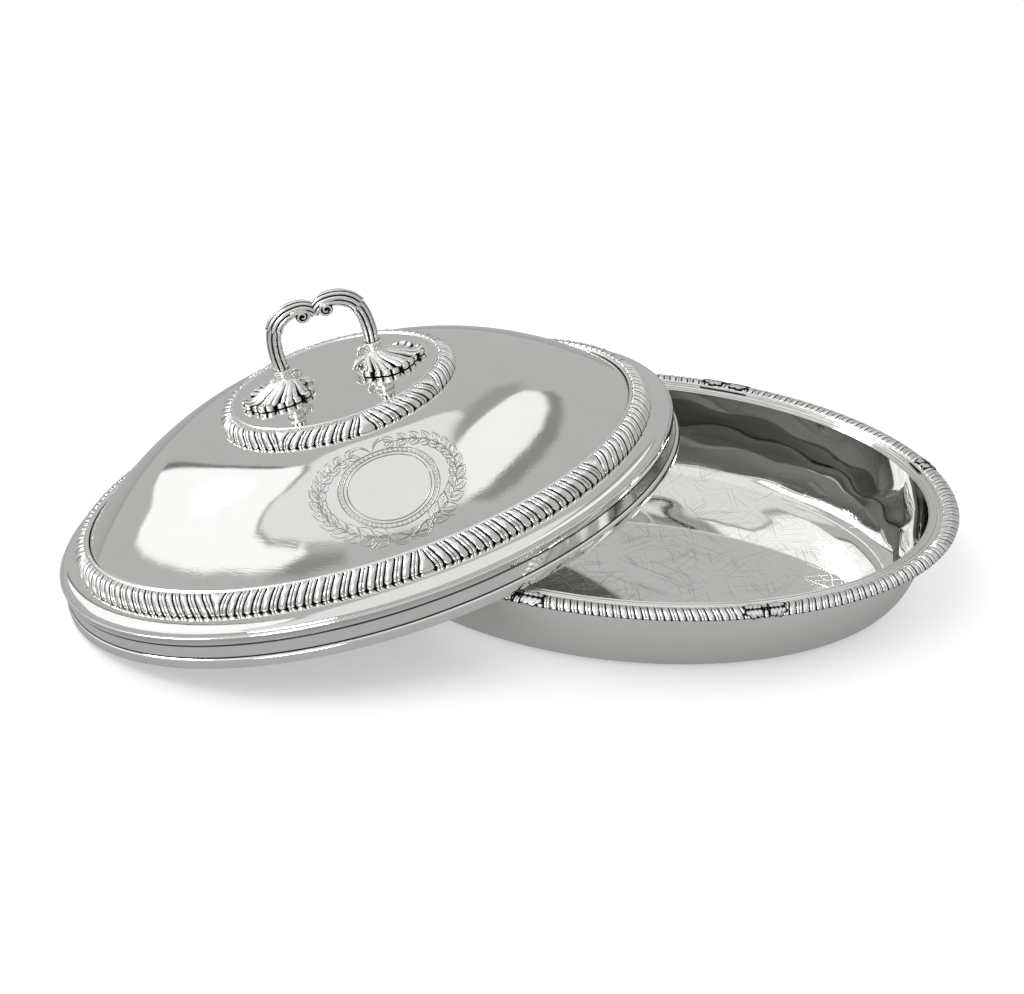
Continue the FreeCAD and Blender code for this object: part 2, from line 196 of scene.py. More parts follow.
def quarter(start, end, steps):
    # quarter of an ellipse between two profile points, level at its first end
    places = []
    for step in range(steps + 1):
        angle = math.pi / 2 * step / steps
        run, rise = math.sin(angle), 1 - math.cos(angle)
        places.append((start[0] + (end[0] - start[0]) * run, start[1] + (end[1] - start[1]) * rise))
    return places


# ---- camera, floor and light

photo = {"lens": 77.34, "sensor": 36, "place": (0.1639, -0.8832, 0.5537), "aim": (-0.0687, 0.0447, 0)}


def turnedTo(place, aim, axis):
    return (Vector(aim) - Vector(place)).to_track_quat(axis, "Y").to_euler()


def makeCamera():
    lens = bpy.data.cameras.new("photoCamera")
    lens.lens = photo["lens"]
    lens.sensor_width = photo["sensor"]
    camera = linked("photoCamera", lens)
    camera.location = photo["place"]
    camera.rotation_euler = turnedTo(photo["place"], photo["aim"], "-Z")
    bpy.context.scene.camera = camera


studio = {
    "floorSize": 16.0, "floorColour": "#e9e9e9", "floorLift": 0.36, "worldLight": 0.6,
    "cardSize": 12.0, "cardColour": "#929292", "cardLift": 0.19, "floorDrop": 0.0004, "cardDrop": 0.0002,
    "tentReach": 6.0, "tentMiddle": (-0.1, -0.04, 0.08), "tentLevel": 0.50, "tentColumns": 480,
    "tentRows": 126,
}


def studioMaterial(name):
    material = bpy.data.materials.new(name)
    material.use_nodes = True
    material.node_tree.nodes.clear()
    return material, material.node_tree


def stagePlane(name, size, drop, material):
    mesh = bpy.data.meshes.new(name)
    h = size / 2
    mesh.from_pydata([(-h, -h, 0), (h, -h, 0), (h, h, 0), (-h, h, 0)], [], [(0, 1, 2, 3)])
    mesh.materials.append(material)
    plane = linked(name, mesh)
    plane.location = (0, 0, -drop)
    return plane


def reflectedOnly(item):
    item.visible_camera = False
    item.visible_diffuse = False
    item.visible_shadow = False
    item.visible_transmission = False
    item.visible_volume_scatter = False


def glowingMatt(tree, colour, glow):
    matt = addNode(tree, "ShaderNodeBsdfDiffuse", {"Color": linear(colour)})
    lift = addNode(tree, "ShaderNodeEmission", {"Strength": glow})
    both = addNode(tree, "ShaderNodeAddShader", {0: matt.outputs[0], 1: lift.outputs[0]})
    addNode(tree, "ShaderNodeOutputMaterial", {"Surface": both.outputs[0]})


def seenRays(tree):
    # 1 for the rays that show a thing itself, 0 for those that only light by it
    path = addNode(tree, "ShaderNodeLightPath")
    seen = maths(tree, "MAXIMUM", path.outputs["Is Camera Ray"], path.outputs["Is Glossy Ray"])
    return maths(tree, "MAXIMUM", seen, path.outputs["Is Transmission Ray"])


def makeFloor():
    material, tree = studioMaterial("matt white sweep")  # seamless paper: pale, no shine
    glowingMatt(tree, studio["floorColour"], maths(tree, "MULTIPLY", seenRays(tree), studio["floorLift"]))
    stagePlane("floor", studio["floorSize"], studio["floorDrop"], material)


def makeWorld():
    world = bpy.data.worlds.new("pale studio")
    world.use_nodes = True
    tree = world.node_tree
    tree.nodes.clear()
    level = addNode(tree, "ShaderNodeMapRange", {"Value": seenRays(tree), "To Min": studio["worldLight"],
            "To Max": 1.0})
    sky = addNode(tree, "ShaderNodeBackground", {"Color": (1, 1, 1, 1), "Strength": level.outputs[0]})
    addNode(tree, "ShaderNodeOutputWorld", {"Surface": sky.outputs[0]})
    bpy.context.scene.world = world


# what hangs in the studio tent, for the silver to show: each patch is a ring of (azimuth, elevation)
# corners, its brightness and the width of its soft edge in degrees; a later one covers an earlier
# one. Azimuth 0 is towards the camera's side of the table, and grows to the right.
petalEdge = [(-16, 40), (-29, 39.7), (-39, 42), (-45, 46.8), (-52, 53), (-56, 58), (-65, 61.5), (-80, 64.5),
        (-97, 63)]
bankEdge = [(-101, 55.6), (-108, 48), (-113, 40), (-115, 32), (-118, 22.5), (-121, 12)]
stripRight = [(49, 50), (62, 52.6), (80, 55.7), (100, 56.3), (121, 54.2), (141.6, 49.6), (152.8, 46.6),
        (157.4, 46.4)]
stripLeft = [(161.8, 49.4), (160.6, 55.6), (152, 65.2), (125, 74), (77.5, 73.8), (60, 62)]
tentPatches = {
    "darkDoor": ([(-32, -8), (-32, 14), (-8, 24), (20, 25), (36, 14), (40, -8)], 0.45, 8),
    "leftBank": ([(-121, 12), (-114, 14), (-103, 17.5), (-96, 15), (-91, 14.5), (-82, 17), (-71, 20.5),
            (-58, 24),
        (-47, 26.5), (-29, 30.2), (-18, 32.5), (-11, 37)] + petalEdge + bankEdge[:-1], 1.1, 0.9),
    "topSheet": (petalEdge[::-1] + [(0, 41), (15, 42.5), (30, 45), (49, 50), (60, 62), (77.5, 74), (120, 78),
        (165, 70), (-178, 66), (-165, 64), (-146, 60.5), (-132, 57), (-117, 60)], 0.84, 1.5),
    "greySide": ([(95, 77), (125, 74), (152, 65.2), (160.6, 55.6), (161.8, 49.4), (170, 46), (178, 52),
            (176, 62),
        (150, 76)], 0.36, 6),
    "rightStrip": (stripRight + stripLeft, 1.0, 1.2),
    "greyFold": (stripRight + [(156.3, 42.5), (150.6, 42.8), (133.6, 47.9), (116.3, 50.6), (95.9, 51.6),
            (73.4, 49.9),
        (58.8, 48.2)], 0.28, 1.4),
    # seams of the cloth
    "petalSeam": (petalEdge + [(turn, rise - 1.5) for turn, rise in petalEdge[::-1]], 0.3, 1.3),
    "bankSeam": (bankEdge + [(turn - 2.6, rise + 0.9) for turn, rise in bankEdge[::-1]], 0.2, 1.4),
    "gap": ([(-22, 30), (-12, 36.5), (2, 38), (4, 35.5), (-10, 31)], 0.3, 3),
}


def zenithPlane(azimuth, elevation):
    # directions as places on a plan of the tent roof, in degrees from straight up
    turn, reach = np.radians(azimuth), 90 - np.asarray(elevation, float)
    return np.stack([reach * np.sin(turn), -reach * np.cos(turn)], -1)


def insideBy(places, ring):
    # how far each place is inside a closed ring, below 0 outside it
    nearest = np.full(len(places), 1e9)
    inside = np.zeros(len(places), bool)
    for start, end in zip(ring, np.roll(ring, -1, axis=0)):
        along = end - start
        share = np.clip((places - start) @ along / (along @ along), 0, 1)
        nearest = np.minimum(nearest, np.hypot(*(places - start - share[:, None] * along).T))
        crosses = (start[1] > places[:, 1]) != (end[1] > places[:, 1])
        if end[1] != start[1]:
            inside ^= crosses & (places[:, 0] < along[0] * (places[:, 1] - start[1]) / along[1] + start[0])
    return np.where(inside, nearest, -nearest)


def makeTent():
    # grey cloth tent round the table: polished metal shows it, as it does in a studio
    columns, rows = studio["tentColumns"], studio["tentRows"]
    azimuth, elevation = np.meshgrid(np.linspace(0, 360, columns, endpoint=False),
            np.linspace(-4, 89.5, rows), indexing="ij")
    azimuth, elevation = azimuth.ravel(), elevation.ravel()
    places = zenithPlane(azimuth, elevation)
    level = np.full(len(places), studio["tentLevel"])
    for ring, brightness, soft in tentPatches.values():
        depth = insideBy(places, zenithPlane(*np.array(ring, float).T))
        share = np.clip(depth / soft + 0.5, 0, 1)
        level += (brightness - level) * share * share * (3 - 2 * share)
    turn, rise = np.radians(azimuth), np.radians(elevation)
    ways = np.stack([np.sin(turn) * np.cos(rise), -np.cos(turn) * np.cos(rise), np.sin(rise)], -1)
    mesh = bpy.data.meshes.new("tent")
    mesh.from_pydata((ways * studio["tentReach"] + np.array(studio["tentMiddle"])).tolist(), [],
            gridFaces(columns, rows, True, False).tolist())
    mesh.attributes.new("glow", "FLOAT", "POINT").data.foreach_set("value", level.astype(np.float32))
    material, tree = studioMaterial("grey tent cloth")
    cloth = addNode(tree, "ShaderNodeAttribute", attribute_name="glow")
    glow = addNode(tree, "ShaderNodeEmission", {"Strength": cloth.outputs["Fac"]})
    addNode(tree, "ShaderNodeOutputMaterial", {"Surface": glow.outputs[0]})
    mesh.materials.append(material)
    tent = linked("tent", mesh)
    reflectedOnly(tent)
    card, cardTree = studioMaterial("grey table card")
    glowingMatt(cardTree, studio["cardColour"], studio["cardLift"])
    reflectedOnly(stagePlane("tableCard", studio["cardSize"], studio["cardDrop"], card))


lamps = {
    # name: width, depth, place, watts
    "keyLamp": (1.4, 1.0, (-0.5, -0.7, 1.7), 10.0),
    "fillLamp": (1.2, 1.2, (1.1, 0.3, 1.6), 6.0),
    # only the silver sees these: they give the cast work its small bright lights
    "glintLeft": (0.6, 0.6, (-1.75, -0.22, 1.55), 22.0),
    "glintFront": (1.3, 0.7, (-0.5, -2.9, 0.9), 34.0),
}


def makeLamps():
    for name, (width, depth, place, watts) in lamps.items():
        glint = name.startswith("glint")
        light = bpy.data.lights.new(name, "AREA")
        light.shape = "ELLIPSE" if glint else "RECTANGLE"
        light.size = width
        light.size_y = depth
        light.energy = watts
        lamp = linked(name, light)
        lamp.location = place
        lamp.rotation_euler = turnedTo(place, (0, 0, 0), "-Z")
        lamp.visible_glossy = glint
        lamp.visible_diffuse = not glint


makeCamera()
makeFloor()
makeWorld()
makeTent()
makeLamps()
bpy.context.scene.view_settings.view_transform = "Standard"
print("camera, floor and light are ready")


# ---- materials

silver = {
    # the dark colour serves both the tarnish in hollows and painted shade
    "colour": "#f4f4f2", "wornColour": "#ebebe9", "tarnishAndShade": "#161616", "scratchColour": "#b4b4b4",
    "waxColours": ("#7c7c7a", "#c4c4c2"), "sheetRoughness": 0.045, "castRoughness": 0.27,
    "tarnishRoughness": 0.3, "insideRoughness": 0.5, "scratchRoughness": 0.25, "cutRoughness": 0.32,
    # noise scales are counted per metre: haze of the buffing, hammer waves, grain of the castings
    "sheetHaze": 55.0, "bowlHaze": 60.0, "wavePitch": 34.0, "castGrain": 420.0, "waxGrain": 160.0,
    "buffScale": (90.0, 1900.0, 1900.0), "buffTurn": (0.0, 0.2, 0.5), "tarnishAndShadeFrom": 0.16, "tarnishAndShadeTo": 0.52,
    # direction, length in millimetres and how rare each run of scratches is
    "scratchWidth": 0.4,
    "scratches": [(0.35, 34, 0.735), (1.15, 48, 0.75), (1.9, 28, 0.74), (2.75, 56, 0.745), (0.8, 40, 0.755),
        (2.3, 24, 0.75)],
}


def silverMaterial(name):
    material, tree = studioMaterial(name)
    spot = addNode(tree, "ShaderNodeTexCoord")
    shader = addNode(tree, "ShaderNodeBsdfPrincipled", {"Metallic": 1.0})
    addNode(tree, "ShaderNodeOutputMaterial", {"Surface": shader.outputs[0]})
    return material, tree, spot.outputs["Object"], shader


def dress(tree, shader, sockets):
    for name, socket in sockets.items():
        tree.links.new(socket, shader.inputs[name])


def noise(tree, spot, scale, detail, **more):
    sockets = {"Vector": spot, "Scale": scale, "Detail": detail, **more}
    return addNode(tree, "ShaderNodeTexNoise", sockets).outputs[0]


def mixed(tree, factor, first, second):
    node = addNode(tree, "ShaderNodeMix", {"Factor": factor, "A": first, "B": second}, data_type="RGBA")
    return node.outputs["Result"]


def ranged(tree, value, fromLow, fromHigh, low, high, **settings):
    return addNode(tree, "ShaderNodeMapRange", {"Value": value, "From Min": fromLow, "From Max": fromHigh,
            "To Min": low, "To Max": high}, **settings).outputs[0]


def painted(tree, name):
    return addNode(tree, "ShaderNodeAttribute", attribute_name=name).outputs["Fac"]


def bumped(tree, height, strength, distance, **more):
    sockets = {"Height": height, "Strength": strength, "Distance": distance, **more}
    return addNode(tree, "ShaderNodeBump", sockets).outputs[0]


def polishedSheet():
    # sterling silver sheet, raised, planished and buffed: mirror bright, with soft waves from the
    # hammer and a haze of fine buffing lines that breaks up the reflection a little
    material, tree, spot, shader = silverMaterial("planished sterling sheet")
    haze = noise(tree, spot, silver["sheetHaze"], 4.0, Roughness=0.6)
    tint = mixed(tree, haze, linear(silver["wornColour"]), linear(silver["colour"]))
    # painted shade, with some tarnish, in its corners along the wires
    shadedTint = mixed(tree, painted(tree, "hollow"), tint, linear(silver["tarnishAndShade"]))
    rough = ranged(tree, haze, 0.3, 0.7, silver["sheetRoughness"] * 0.7, silver["sheetRoughness"] * 1.6)
    # the inside of the cover was never buffed
    rough = maths(tree, "MULTIPLY_ADD", painted(tree, "inside"), silver["insideRoughness"], rough)
    waves = bumped(tree, noise(tree, spot, 1000 / silver["wavePitch"], 1.0), 0.06, 0.002)
    buffed = addNode(tree, "ShaderNodeMapping", {"Vector": spot, "Scale": silver["buffScale"],
            "Rotation": silver["buffTurn"]})
    bump = bumped(tree, noise(tree, buffed.outputs[0], 1.0, 2.0), 0.05, 0.0002, Normal=waves)
    dress(tree, shader, {"Base Color": shadedTint, "Roughness": rough, "Normal": bump})
    return material


def servedBowl():
    # the same sheet inside the bowl, with years of criss-cross scratches from serving spoons
    material, tree, spot, shader = silverMaterial("scratched sterling bowl")
    marks = None
    for index, (angle, long, rare) in enumerate(silver["scratches"]):
        turned = addNode(tree, "ShaderNodeMapping", {"Vector": spot, "Rotation": (0.0, 0.0, angle),
                "Location": (index * 0.31, index * 0.17, 0.0),
                "Scale": (long * 0.001, silver["scratchWidth"] * 0.001, 1.0)}, vector_type="TEXTURE")
        cut = ranged(tree, noise(tree, turned.outputs[0], 1.0, 0.0), rare, rare + 0.05, 0.0, 1.0)
        marks = cut if marks is None else maths(tree, "MAXIMUM", marks, cut)
    marks = maths(tree, "MULTIPLY", marks, painted(tree, "served"))
    tint = mixed(tree, marks, linear(silver["colour"]), linear(silver["scratchColour"]))
    smooth = ranged(tree, noise(tree, spot, silver["bowlHaze"], 4.0), 0.3, 0.7,
            silver["sheetRoughness"] * 0.5, silver["sheetRoughness"] * 1.2)
    rough = maths(tree, "MULTIPLY_ADD", marks, silver["scratchRoughness"], smooth)
    bump = bumped(tree, maths(tree, "SUBTRACT", 1.0, marks), 0.2, 0.0001)
    dress(tree, shader, {"Base Color": tint, "Roughness": rough, "Normal": bump})
    return material


def castSilver():
    # cast and chased sterling: bright worn ridges, hollows that keep their dark tarnish, and painted shade
    # under the feet, inside the volutes and round the sheath mouths
    material, tree, spot, shader = silverMaterial("chased cast sterling")
    grain = noise(tree, spot, silver["castGrain"], 3.0)
    uneven = maths(tree, "MULTIPLY_ADD", grain, 0.35, -0.17)
    depth = maths(tree, "ADD", painted(tree, "hollow"), uneven)
    dark = ranged(tree, depth, silver["tarnishAndShadeFrom"], silver["tarnishAndShadeTo"], 0.0, 1.0,
        interpolation_type="SMOOTHSTEP")
    tint = mixed(tree, dark, linear(silver["colour"]), linear(silver["tarnishAndShade"]))
    rough = maths(tree, "MULTIPLY_ADD", dark, silver["tarnishRoughness"], silver["castRoughness"])
    dress(tree, shader, {"Base Color": tint, "Roughness": rough, "Normal": bumped(tree, grain, 0.12, 0.0003)})
    return material


def cutLine():
    # graver cuts in the sheet: narrow bright-edged furrows, grey with wax and polish left in them
    material, tree, spot, shader = silverMaterial("engraved silver line")
    wax, bright = silver["waxColours"]
    tint = mixed(tree, noise(tree, spot, silver["waxGrain"], 2.0), linear(wax), linear(bright))
    dress(tree, shader, {"Base Color": tint})
    shader.inputs["Roughness"].default_value = silver["cutRoughness"]
    return material


sheetMaterial = polishedSheet()
bowlMaterial = servedBowl()
castMaterial = castSilver()
print("silver finishes are ready")


# ---- gadroon borders: wide plain lobes with two reeds between each pair

gadroon = {"lobeShare": 0.52, "reeds": 2, "reedFloor": 0.42, "reedRise": 0.5, "lobeSteps": 10, "reedSteps": 6,
        "rows": [0, 0.02, 0.045, 0.08, 0.12, 0.17, 0.24, 0.33, 0.42, 0.52, 0.62, 0.71, 0.79, 0.85, 0.885],
        "filletRows": 6, "sunkShare": 0.92, "innerShare": 0.08, "flips": 8}


def gadroonTree():
    tree = bpy.data.node_groups.new("gadroonLobes", "GeometryNodeTree")
    sides = tree.interface
    sides.new_socket("Geometry", in_out="INPUT", socket_type="NodeSocketGeometry")
    for label in ("Lobe Share", "Reeds", "Reed Floor", "Reed Rise", "Lobe Height"):
        sides.new_socket(label, in_out="INPUT", socket_type="NodeSocketFloat")
    sides.new_socket("Finish", in_out="INPUT", socket_type="NodeSocketMaterial")
    sides.new_socket("Geometry", in_out="OUTPUT", socket_type="NodeSocketGeometry")
    inputs = addNode(tree, "NodeGroupInput").outputs
    phase, swell, tip = [addNode(tree, "GeometryNodeInputNamedAttribute", {"Name": label},
            data_type="FLOAT").outputs[0] for label in ("phase", "swell", "tip")]
    tip = maths(tree, "MULTIPLY", tip, tip)
    share = inputs["Lobe Share"]
    part = maths(tree, "FRACT", phase)
    inLobe = maths(tree, "LESS_THAN", part, share)
    lobePlace = maths(tree, "DIVIDE", part, share)
    past = maths(tree, "SUBTRACT", part, share)
    rest = maths(tree, "SUBTRACT", 1.0, share)
    group = maths(tree, "DIVIDE", past, rest)
    many = maths(tree, "MULTIPLY", group, inputs["Reeds"])
    reedPlace = maths(tree, "FRACT", many)
    arches, depths = [], []
    for place, power in ((lobePlace, 1.0), (reedPlace, 1.0), (group, 2.0)):
        side = maths(tree, "MULTIPLY_ADD", place, 2.0, -1.0)
        square = maths(tree, "MULTIPLY", side, side)
        square = maths(tree, "POWER", square, power)
        if place != reedPlace:
            # both a lobe and a pair of reeds end in a round tip
            square = maths(tree, "ADD", square, tip)
        left = maths(tree, "SUBTRACT", 1.0, square, clamp=True)
        arches.append(maths(tree, "SQRT", left))
        deep = maths(tree, "POWER", square, 2.0)
        depths.append(maths(tree, "MINIMUM", deep, 1.0))
    reed = maths(tree, "MULTIPLY_ADD", arches[1], inputs["Reed Rise"], inputs["Reed Floor"])
    reed = maths(tree, "MULTIPLY", reed, arches[2])
    height = addNode(tree, "ShaderNodeMix", {"Factor": inLobe, "A": reed, "B": arches[0]}).outputs[0]
    raised = maths(tree, "MULTIPLY", height, swell)
    lift = maths(tree, "MULTIPLY", raised, inputs["Lobe Height"])
    normal = addNode(tree, "GeometryNodeInputNormal")
    push = addNode(tree, "ShaderNodeVectorMath", {0: normal.outputs[0], "Scale": lift}, operation="SCALE")
    moved = addNode(tree, "GeometryNodeSetPosition", {"Geometry": inputs["Geometry"],
            "Offset": push.outputs[0]})
    # valleys keep their tarnish: steeply darker towards both sides of each lobe and reed
    reedDeep = maths(tree, "MULTIPLY", depths[1], 0.66)
    reedDeep = maths(tree, "MAXIMUM", reedDeep, depths[2])
    deep = addNode(tree, "ShaderNodeMix", {"Factor": inLobe, "A": reedDeep, "B": depths[0]}).outputs[0]
    deep = maths(tree, "MULTIPLY", deep, swell)
    # the tips stand free of the sheet, and their hollows are polished out again
    worn = maths(tree, "MULTIPLY_ADD", tip, -0.6, 1.0)
    deep = maths(tree, "MULTIPLY", deep, worn)
    stored = addNode(tree, "GeometryNodeStoreNamedAttribute", {"Geometry": moved.outputs[0], "Name": "hollow",
            "Value": deep}, data_type="FLOAT", domain="POINT")
    real = addNode(tree, "GeometryNodeRealizeInstances", {"Geometry": stored.outputs[0]})
    dressed = addNode(tree, "GeometryNodeSetMaterial",
        {"Geometry": real.outputs[0], "Material": inputs["Finish"]})
    addNode(tree, "NodeGroupOutput", {"Geometry": dressed.outputs[0]})
    return tree


lobesTree = gadroonTree()


def grown(piece, tree, values):
    # runs a node tree on a piece and keeps the result as its plain mesh
    modifier = piece.modifiers.new("grow", "NODES")
    modifier.node_group = tree
    for item in tree.interface.items_tree:
        if item.in_out == "INPUT" and item.name in values:
            modifier[item.identifier] = values[item.name]
    seen = piece.evaluated_get(bpy.context.evaluated_depsgraph_get())
    mesh = bpy.data.meshes.new_from_object(seen)
    piece.modifiers.remove(modifier)
    old = piece.data
    piece.data = mesh
    bpy.data.meshes.remove(old)
    mesh.name = piece.name


borders = {
    # reference oval, pairs of lobes, where the pattern starts, how sharply it flips, the band's width,
    # the heights of its foot and crest, how far in the crest is, the plain fillet along the inner edge
    # (radius, height of its middle), the lobes' height, the length of their tips, how far they lean
    # and the height of the sheet below
    "dish_rim_gadroon": {
        "size": (152.4, 114.3), "pairs": 136, "start": -0.0286, "ease": 20.0, "width": 9.15, "low": 41.0,
        "high": 44.4, "crest": 0.62, "fillet": (0.6, 43.2), "height": 1.0, "tip": 1.7, "lean": 0.3,
        "floor": 42.0, "body": "dish"},
    "cover_shoulder_gadroon": {
        "size": (138.6, 98.9), "pairs": 96, "start": 0.0145, "ease": 12.0, "width": 9.1, "low": 20.2,
        "high": 28.6, "crest": 0.82, "fillet": (0.75, 27.85), "height": 1.5, "tip": 1.9, "lean": 0.5,
        "floor": 26.8, "body": "cover"},
    "cover_plateau_gadroon": {
        "size": (55.6, 45.6), "pairs": 40, "start": 0.018, "ease": 4.6, "width": 8.3, "low": 64.7,
        "high": 71.3, "crest": 0.86, "fillet": (0.55, 70.95), "height": 1.3, "tip": 1.6, "lean": 0.6,
        "floor": 70.6, "body": "cover"},
}


def borderSection(plan):
    # the band's section: (offset, height) of its base, share of the way across, and the swell and
    # tip of the lobes there
    crest, low, high = plan["crest"] * plan["width"], plan["low"], plan["high"]
    radius, middle = plan["fillet"]
    # outside curve of the band, then over to the fillet
    curve = [(-crest * (1 - math.cos(angle)), low + (high - low) * math.sin(angle))
            for angle in np.linspace(0, math.pi / 2, 60)]
    curve = np.array(curve + [(-plan["width"] + 2 * radius, middle + radius * 0.2)])
    way = wayAlong(curve)
    across = np.array(gadroon["rows"]) / gadroon["rows"][-1]
    profile = np.column_stack([np.interp(across * way[-1], way, curve[:, side]) for side in (0, 1)])
    slope = np.gradient(profile, axis=0)
    outward = np.column_stack([slope[:, 1], -slope[:, 0]])
    outward /= np.linalg.norm(outward, axis=1)[:, None]
    inner = np.clip((1 - across) / gadroon["innerShare"], 0, 1)
    tip = np.clip(1 - across * way[-1] / plan["tip"], 0, 1)
    base = profile - outward * plan["height"] * gadroon["sunkShare"] * inner[:, None]
    fillet = [(-plan["width"] + radius + radius * math.cos(a), middle + radius * math.sin(a))
            for a in np.linspace(0, math.pi, gadroon["filletRows"])]
    # back of the band, on the sheet that carries it
    back = [(-plan["width"], plan["floor"]), (-crest, plan["floor"]),
            (-plan["height"] * 1.3 - 0.8, low + 0.1)]
    plain = np.zeros(len(fillet) + len(back))
    across = np.concatenate([across, np.ones(len(fillet)), [1.0, 0.5, 0.0]])
    return (np.concatenate([base, fillet, back]), across, np.concatenate([inner ** 0.5, plain]),
            np.concatenate([tip, plain]))


def easedSteps(length, steps):
    # places that crowd at both ends of a length, where a lobe or a reed is steep
    return length * (1 - np.cos(np.pi * np.arange(steps) / steps)) / 2


def makeBorder(name):
    plan = borders[name]
    base, across, swell, tip = borderSection(plan)
    share, reeds = gadroon["lobeShare"], gadroon["reeds"]
    reedWidth = (1 - share) / reeds
    pair = [share + reedWidth * index + easedSteps(reedWidth, gadroon["reedSteps"]) for index in range(reeds)]
    pair = np.concatenate([easedSteps(share, gadroon["lobeSteps"])] + pair)
    phases = (np.arange(plan["pairs"])[:, None] + pair[None, :] - share / 2).ravel()
    # the lobes lean one way, then the other, and flip where the wave passes 0
    around = np.linspace(-0.1, 1.1, 48001)
    wave = np.clip(plan["ease"] * np.sin(gadroon["flips"] * np.pi * around), -1, 1)
    spots = []
    for (offset, height), level in zip(base, across):
        eased = level * level * (3 - 2 * level) - 0.5
        along = np.interp(phases, plan["pairs"] * around + plan["lean"] * eased * wave, around)
        spots.append(ringAt(plan["size"], offset, height, sharesToTurns(plan["size"], along + plan["start"])))
    spots = np.concatenate(spots)
    if plan["body"] == "cover":
        spots = laid(spots)
    marks = {"phase": np.tile(np.mod(phases + share / 2, 1) + 1e-4, len(base)),
            "swell": np.repeat(swell, len(phases)), "tip": np.repeat(tip, len(phases))}
    piece = makePiece(name + "_lobes", spots, gridFaces(len(base), len(phases), True, True), marks, 0)
    grown(piece, lobesTree, {"Lobe Share": share, "Reeds": float(reeds), "Reed Floor": gadroon["reedFloor"],
            "Reed Rise": gadroon["reedRise"], "Lobe Height": plan["height"] * 0.001,
            "Finish": castMaterial})
    finishPiece(piece, plan["body"], "cast_silver", castMaterial, name)


for borderName in borders:
    makeBorder(borderName)


rimLeaves = {"turns": (-65.6, -98.0, 34.0, 114.4, 82.0, 214.0), "halfLength": 7.4, "columns": 64, "rows": 22,
        "proud": 0.35, "sunk": 1.3, "crestShare": 0.72, "leafMiddle": 3.7, "leafHalf": 3.6,
    "across": (0.52, 0.46)}


def makeRimLeaves():
    # pairs of small leaves that cover the joins of the cast border
    plan = borders["dish_rim_gadroon"]
    crest = plan["crest"] * plan["width"]
    across = np.linspace(0.04, 1, rimLeaves["rows"])
    bend = np.minimum(across / rimLeaves["crestShare"], 1) * math.pi / 2
    past = np.maximum(across - rimLeaves["crestShare"], 0)
    flat = (plan["width"] - crest - 1.2) / (1 - rimLeaves["crestShare"])
    offset = -crest * (1 - np.cos(bend)) - past * flat
    height = plan["low"] + (plan["high"] - plan["low"]) * np.sin(bend) - past * 2.2
    along = np.linspace(-1, 1, rimLeaves["columns"]) * rimLeaves["halfLength"]
    # outline, veins and rise of one pair of leaves
    s, v = np.meshgrid(along, across)
    beside = (np.abs(s) - rimLeaves["leafMiddle"]) / rimLeaves["leafHalf"]
    over = (v - rimLeaves["across"][0]) / rimLeaves["across"][1]
    reach = np.hypot(beside, over) * (1 + 0.13 * np.cos(7 * np.arctan2(over, beside)))
    crown = np.sqrt(np.clip(1 - reach ** 2, 0, 1))
    sideVeins = np.exp(-((np.mod(beside * 2.6 + np.abs(over) * 1.2, 1) - 0.5) / 0.16) ** 2)
    vein = np.exp(-(over / 0.13) ** 2) + 0.6 * sideVeins
    leaf = -0.35 + (rimLeaves["proud"] + 0.55) * crown ** 0.5 - 0.3 * vein * crown
    rise = np.where(reach < 1, leaf, -rimLeaves["sunk"])
    dark = np.clip(np.where(reach < 1, vein * 0.55 + reach ** 6, 1), 0, 1)
    rings, columns = len(across) + 2, len(along)
    faces = gridFaces(rings, columns, True, False).tolist()
    faces.append([row * columns for row in range(rings)])
    faces.append([(row + 1) * columns - 1 for row in range(rings)][::-1])
    hollow = np.concatenate([dark.ravel(), np.ones(2 * columns)])
    parts = []
    for turn in np.radians(rimLeaves["turns"]):
        spin = turn + along / np.linalg.norm(ovalRing(plan["size"], 0, np.array([turn])))
        place = ovalRing(plan["size"], 0, spin)
        way = np.column_stack([np.cos(spin), np.sin(spin)])
        spots = []
        for row, angle in enumerate(bend):
            push = offset[row] + rise[row] * math.cos(angle)
            up = height[row] + rise[row] * math.sin(angle)
            spots.append(np.column_stack([place + way * push[:, None], up]))
        # closed below, inside the border
        under = [np.column_stack([ring[:, :2] * 0.985, np.full(columns, plan["low"] + 1.6)])
                for ring in (spots[-1], spots[0])]
        parts.append((np.concatenate(spots + under), faces, hollow))
    spots, faces, hollow = joinParts(parts)
    piece = makePiece("rim_leaves", spots, faces, {"hollow": hollow}, 0)
    finishPiece(piece, "dish", "cast_silver", castMaterial)


makeRimLeaves()
print("gadroon borders are ready")


# ---- dish

dish = {
    "size": (152.4, 114.3), "flange": 42.0, "sheet": 1.4, "bowlOffset": -14.4, "floorOffset": -31.4,
    "edgeOffset": -1.9, "segments": 360, "wallRings": 30, "floorRings": 16, "ripple": 0.11, "lip": 0.6,
    # hand raising leaves long soft waves in the wall, which bend what it reflects: how many round the
    # oval, where they start, how they drift from ring to ring and how deep they are
    "waves": [(9, 0, 0.19, 1.0), (17, 1.3, -0.31, 0.8), (31, 2.1, 0.43, 0.5), (23, 0, -0.6, 0.6)],
    "servedHeight": 9, "servedFade": 5,
    # middle and radius of each wire on the ledge
    "reeds": [(-11.2, 0.95), (-13.3, 0.6)], "reedSink": 0.02,
}


def flatOval(size, offset, height, rings, turns):
    # rings that shrink from an oval to its middle, for a floor or a flat top
    edge = ovalRing(size, offset, turns)
    return [np.column_stack([edge * (1 - (ring + 1) / (rings + 1)), np.full(len(turns), height)])
            for ring in range(rings)]


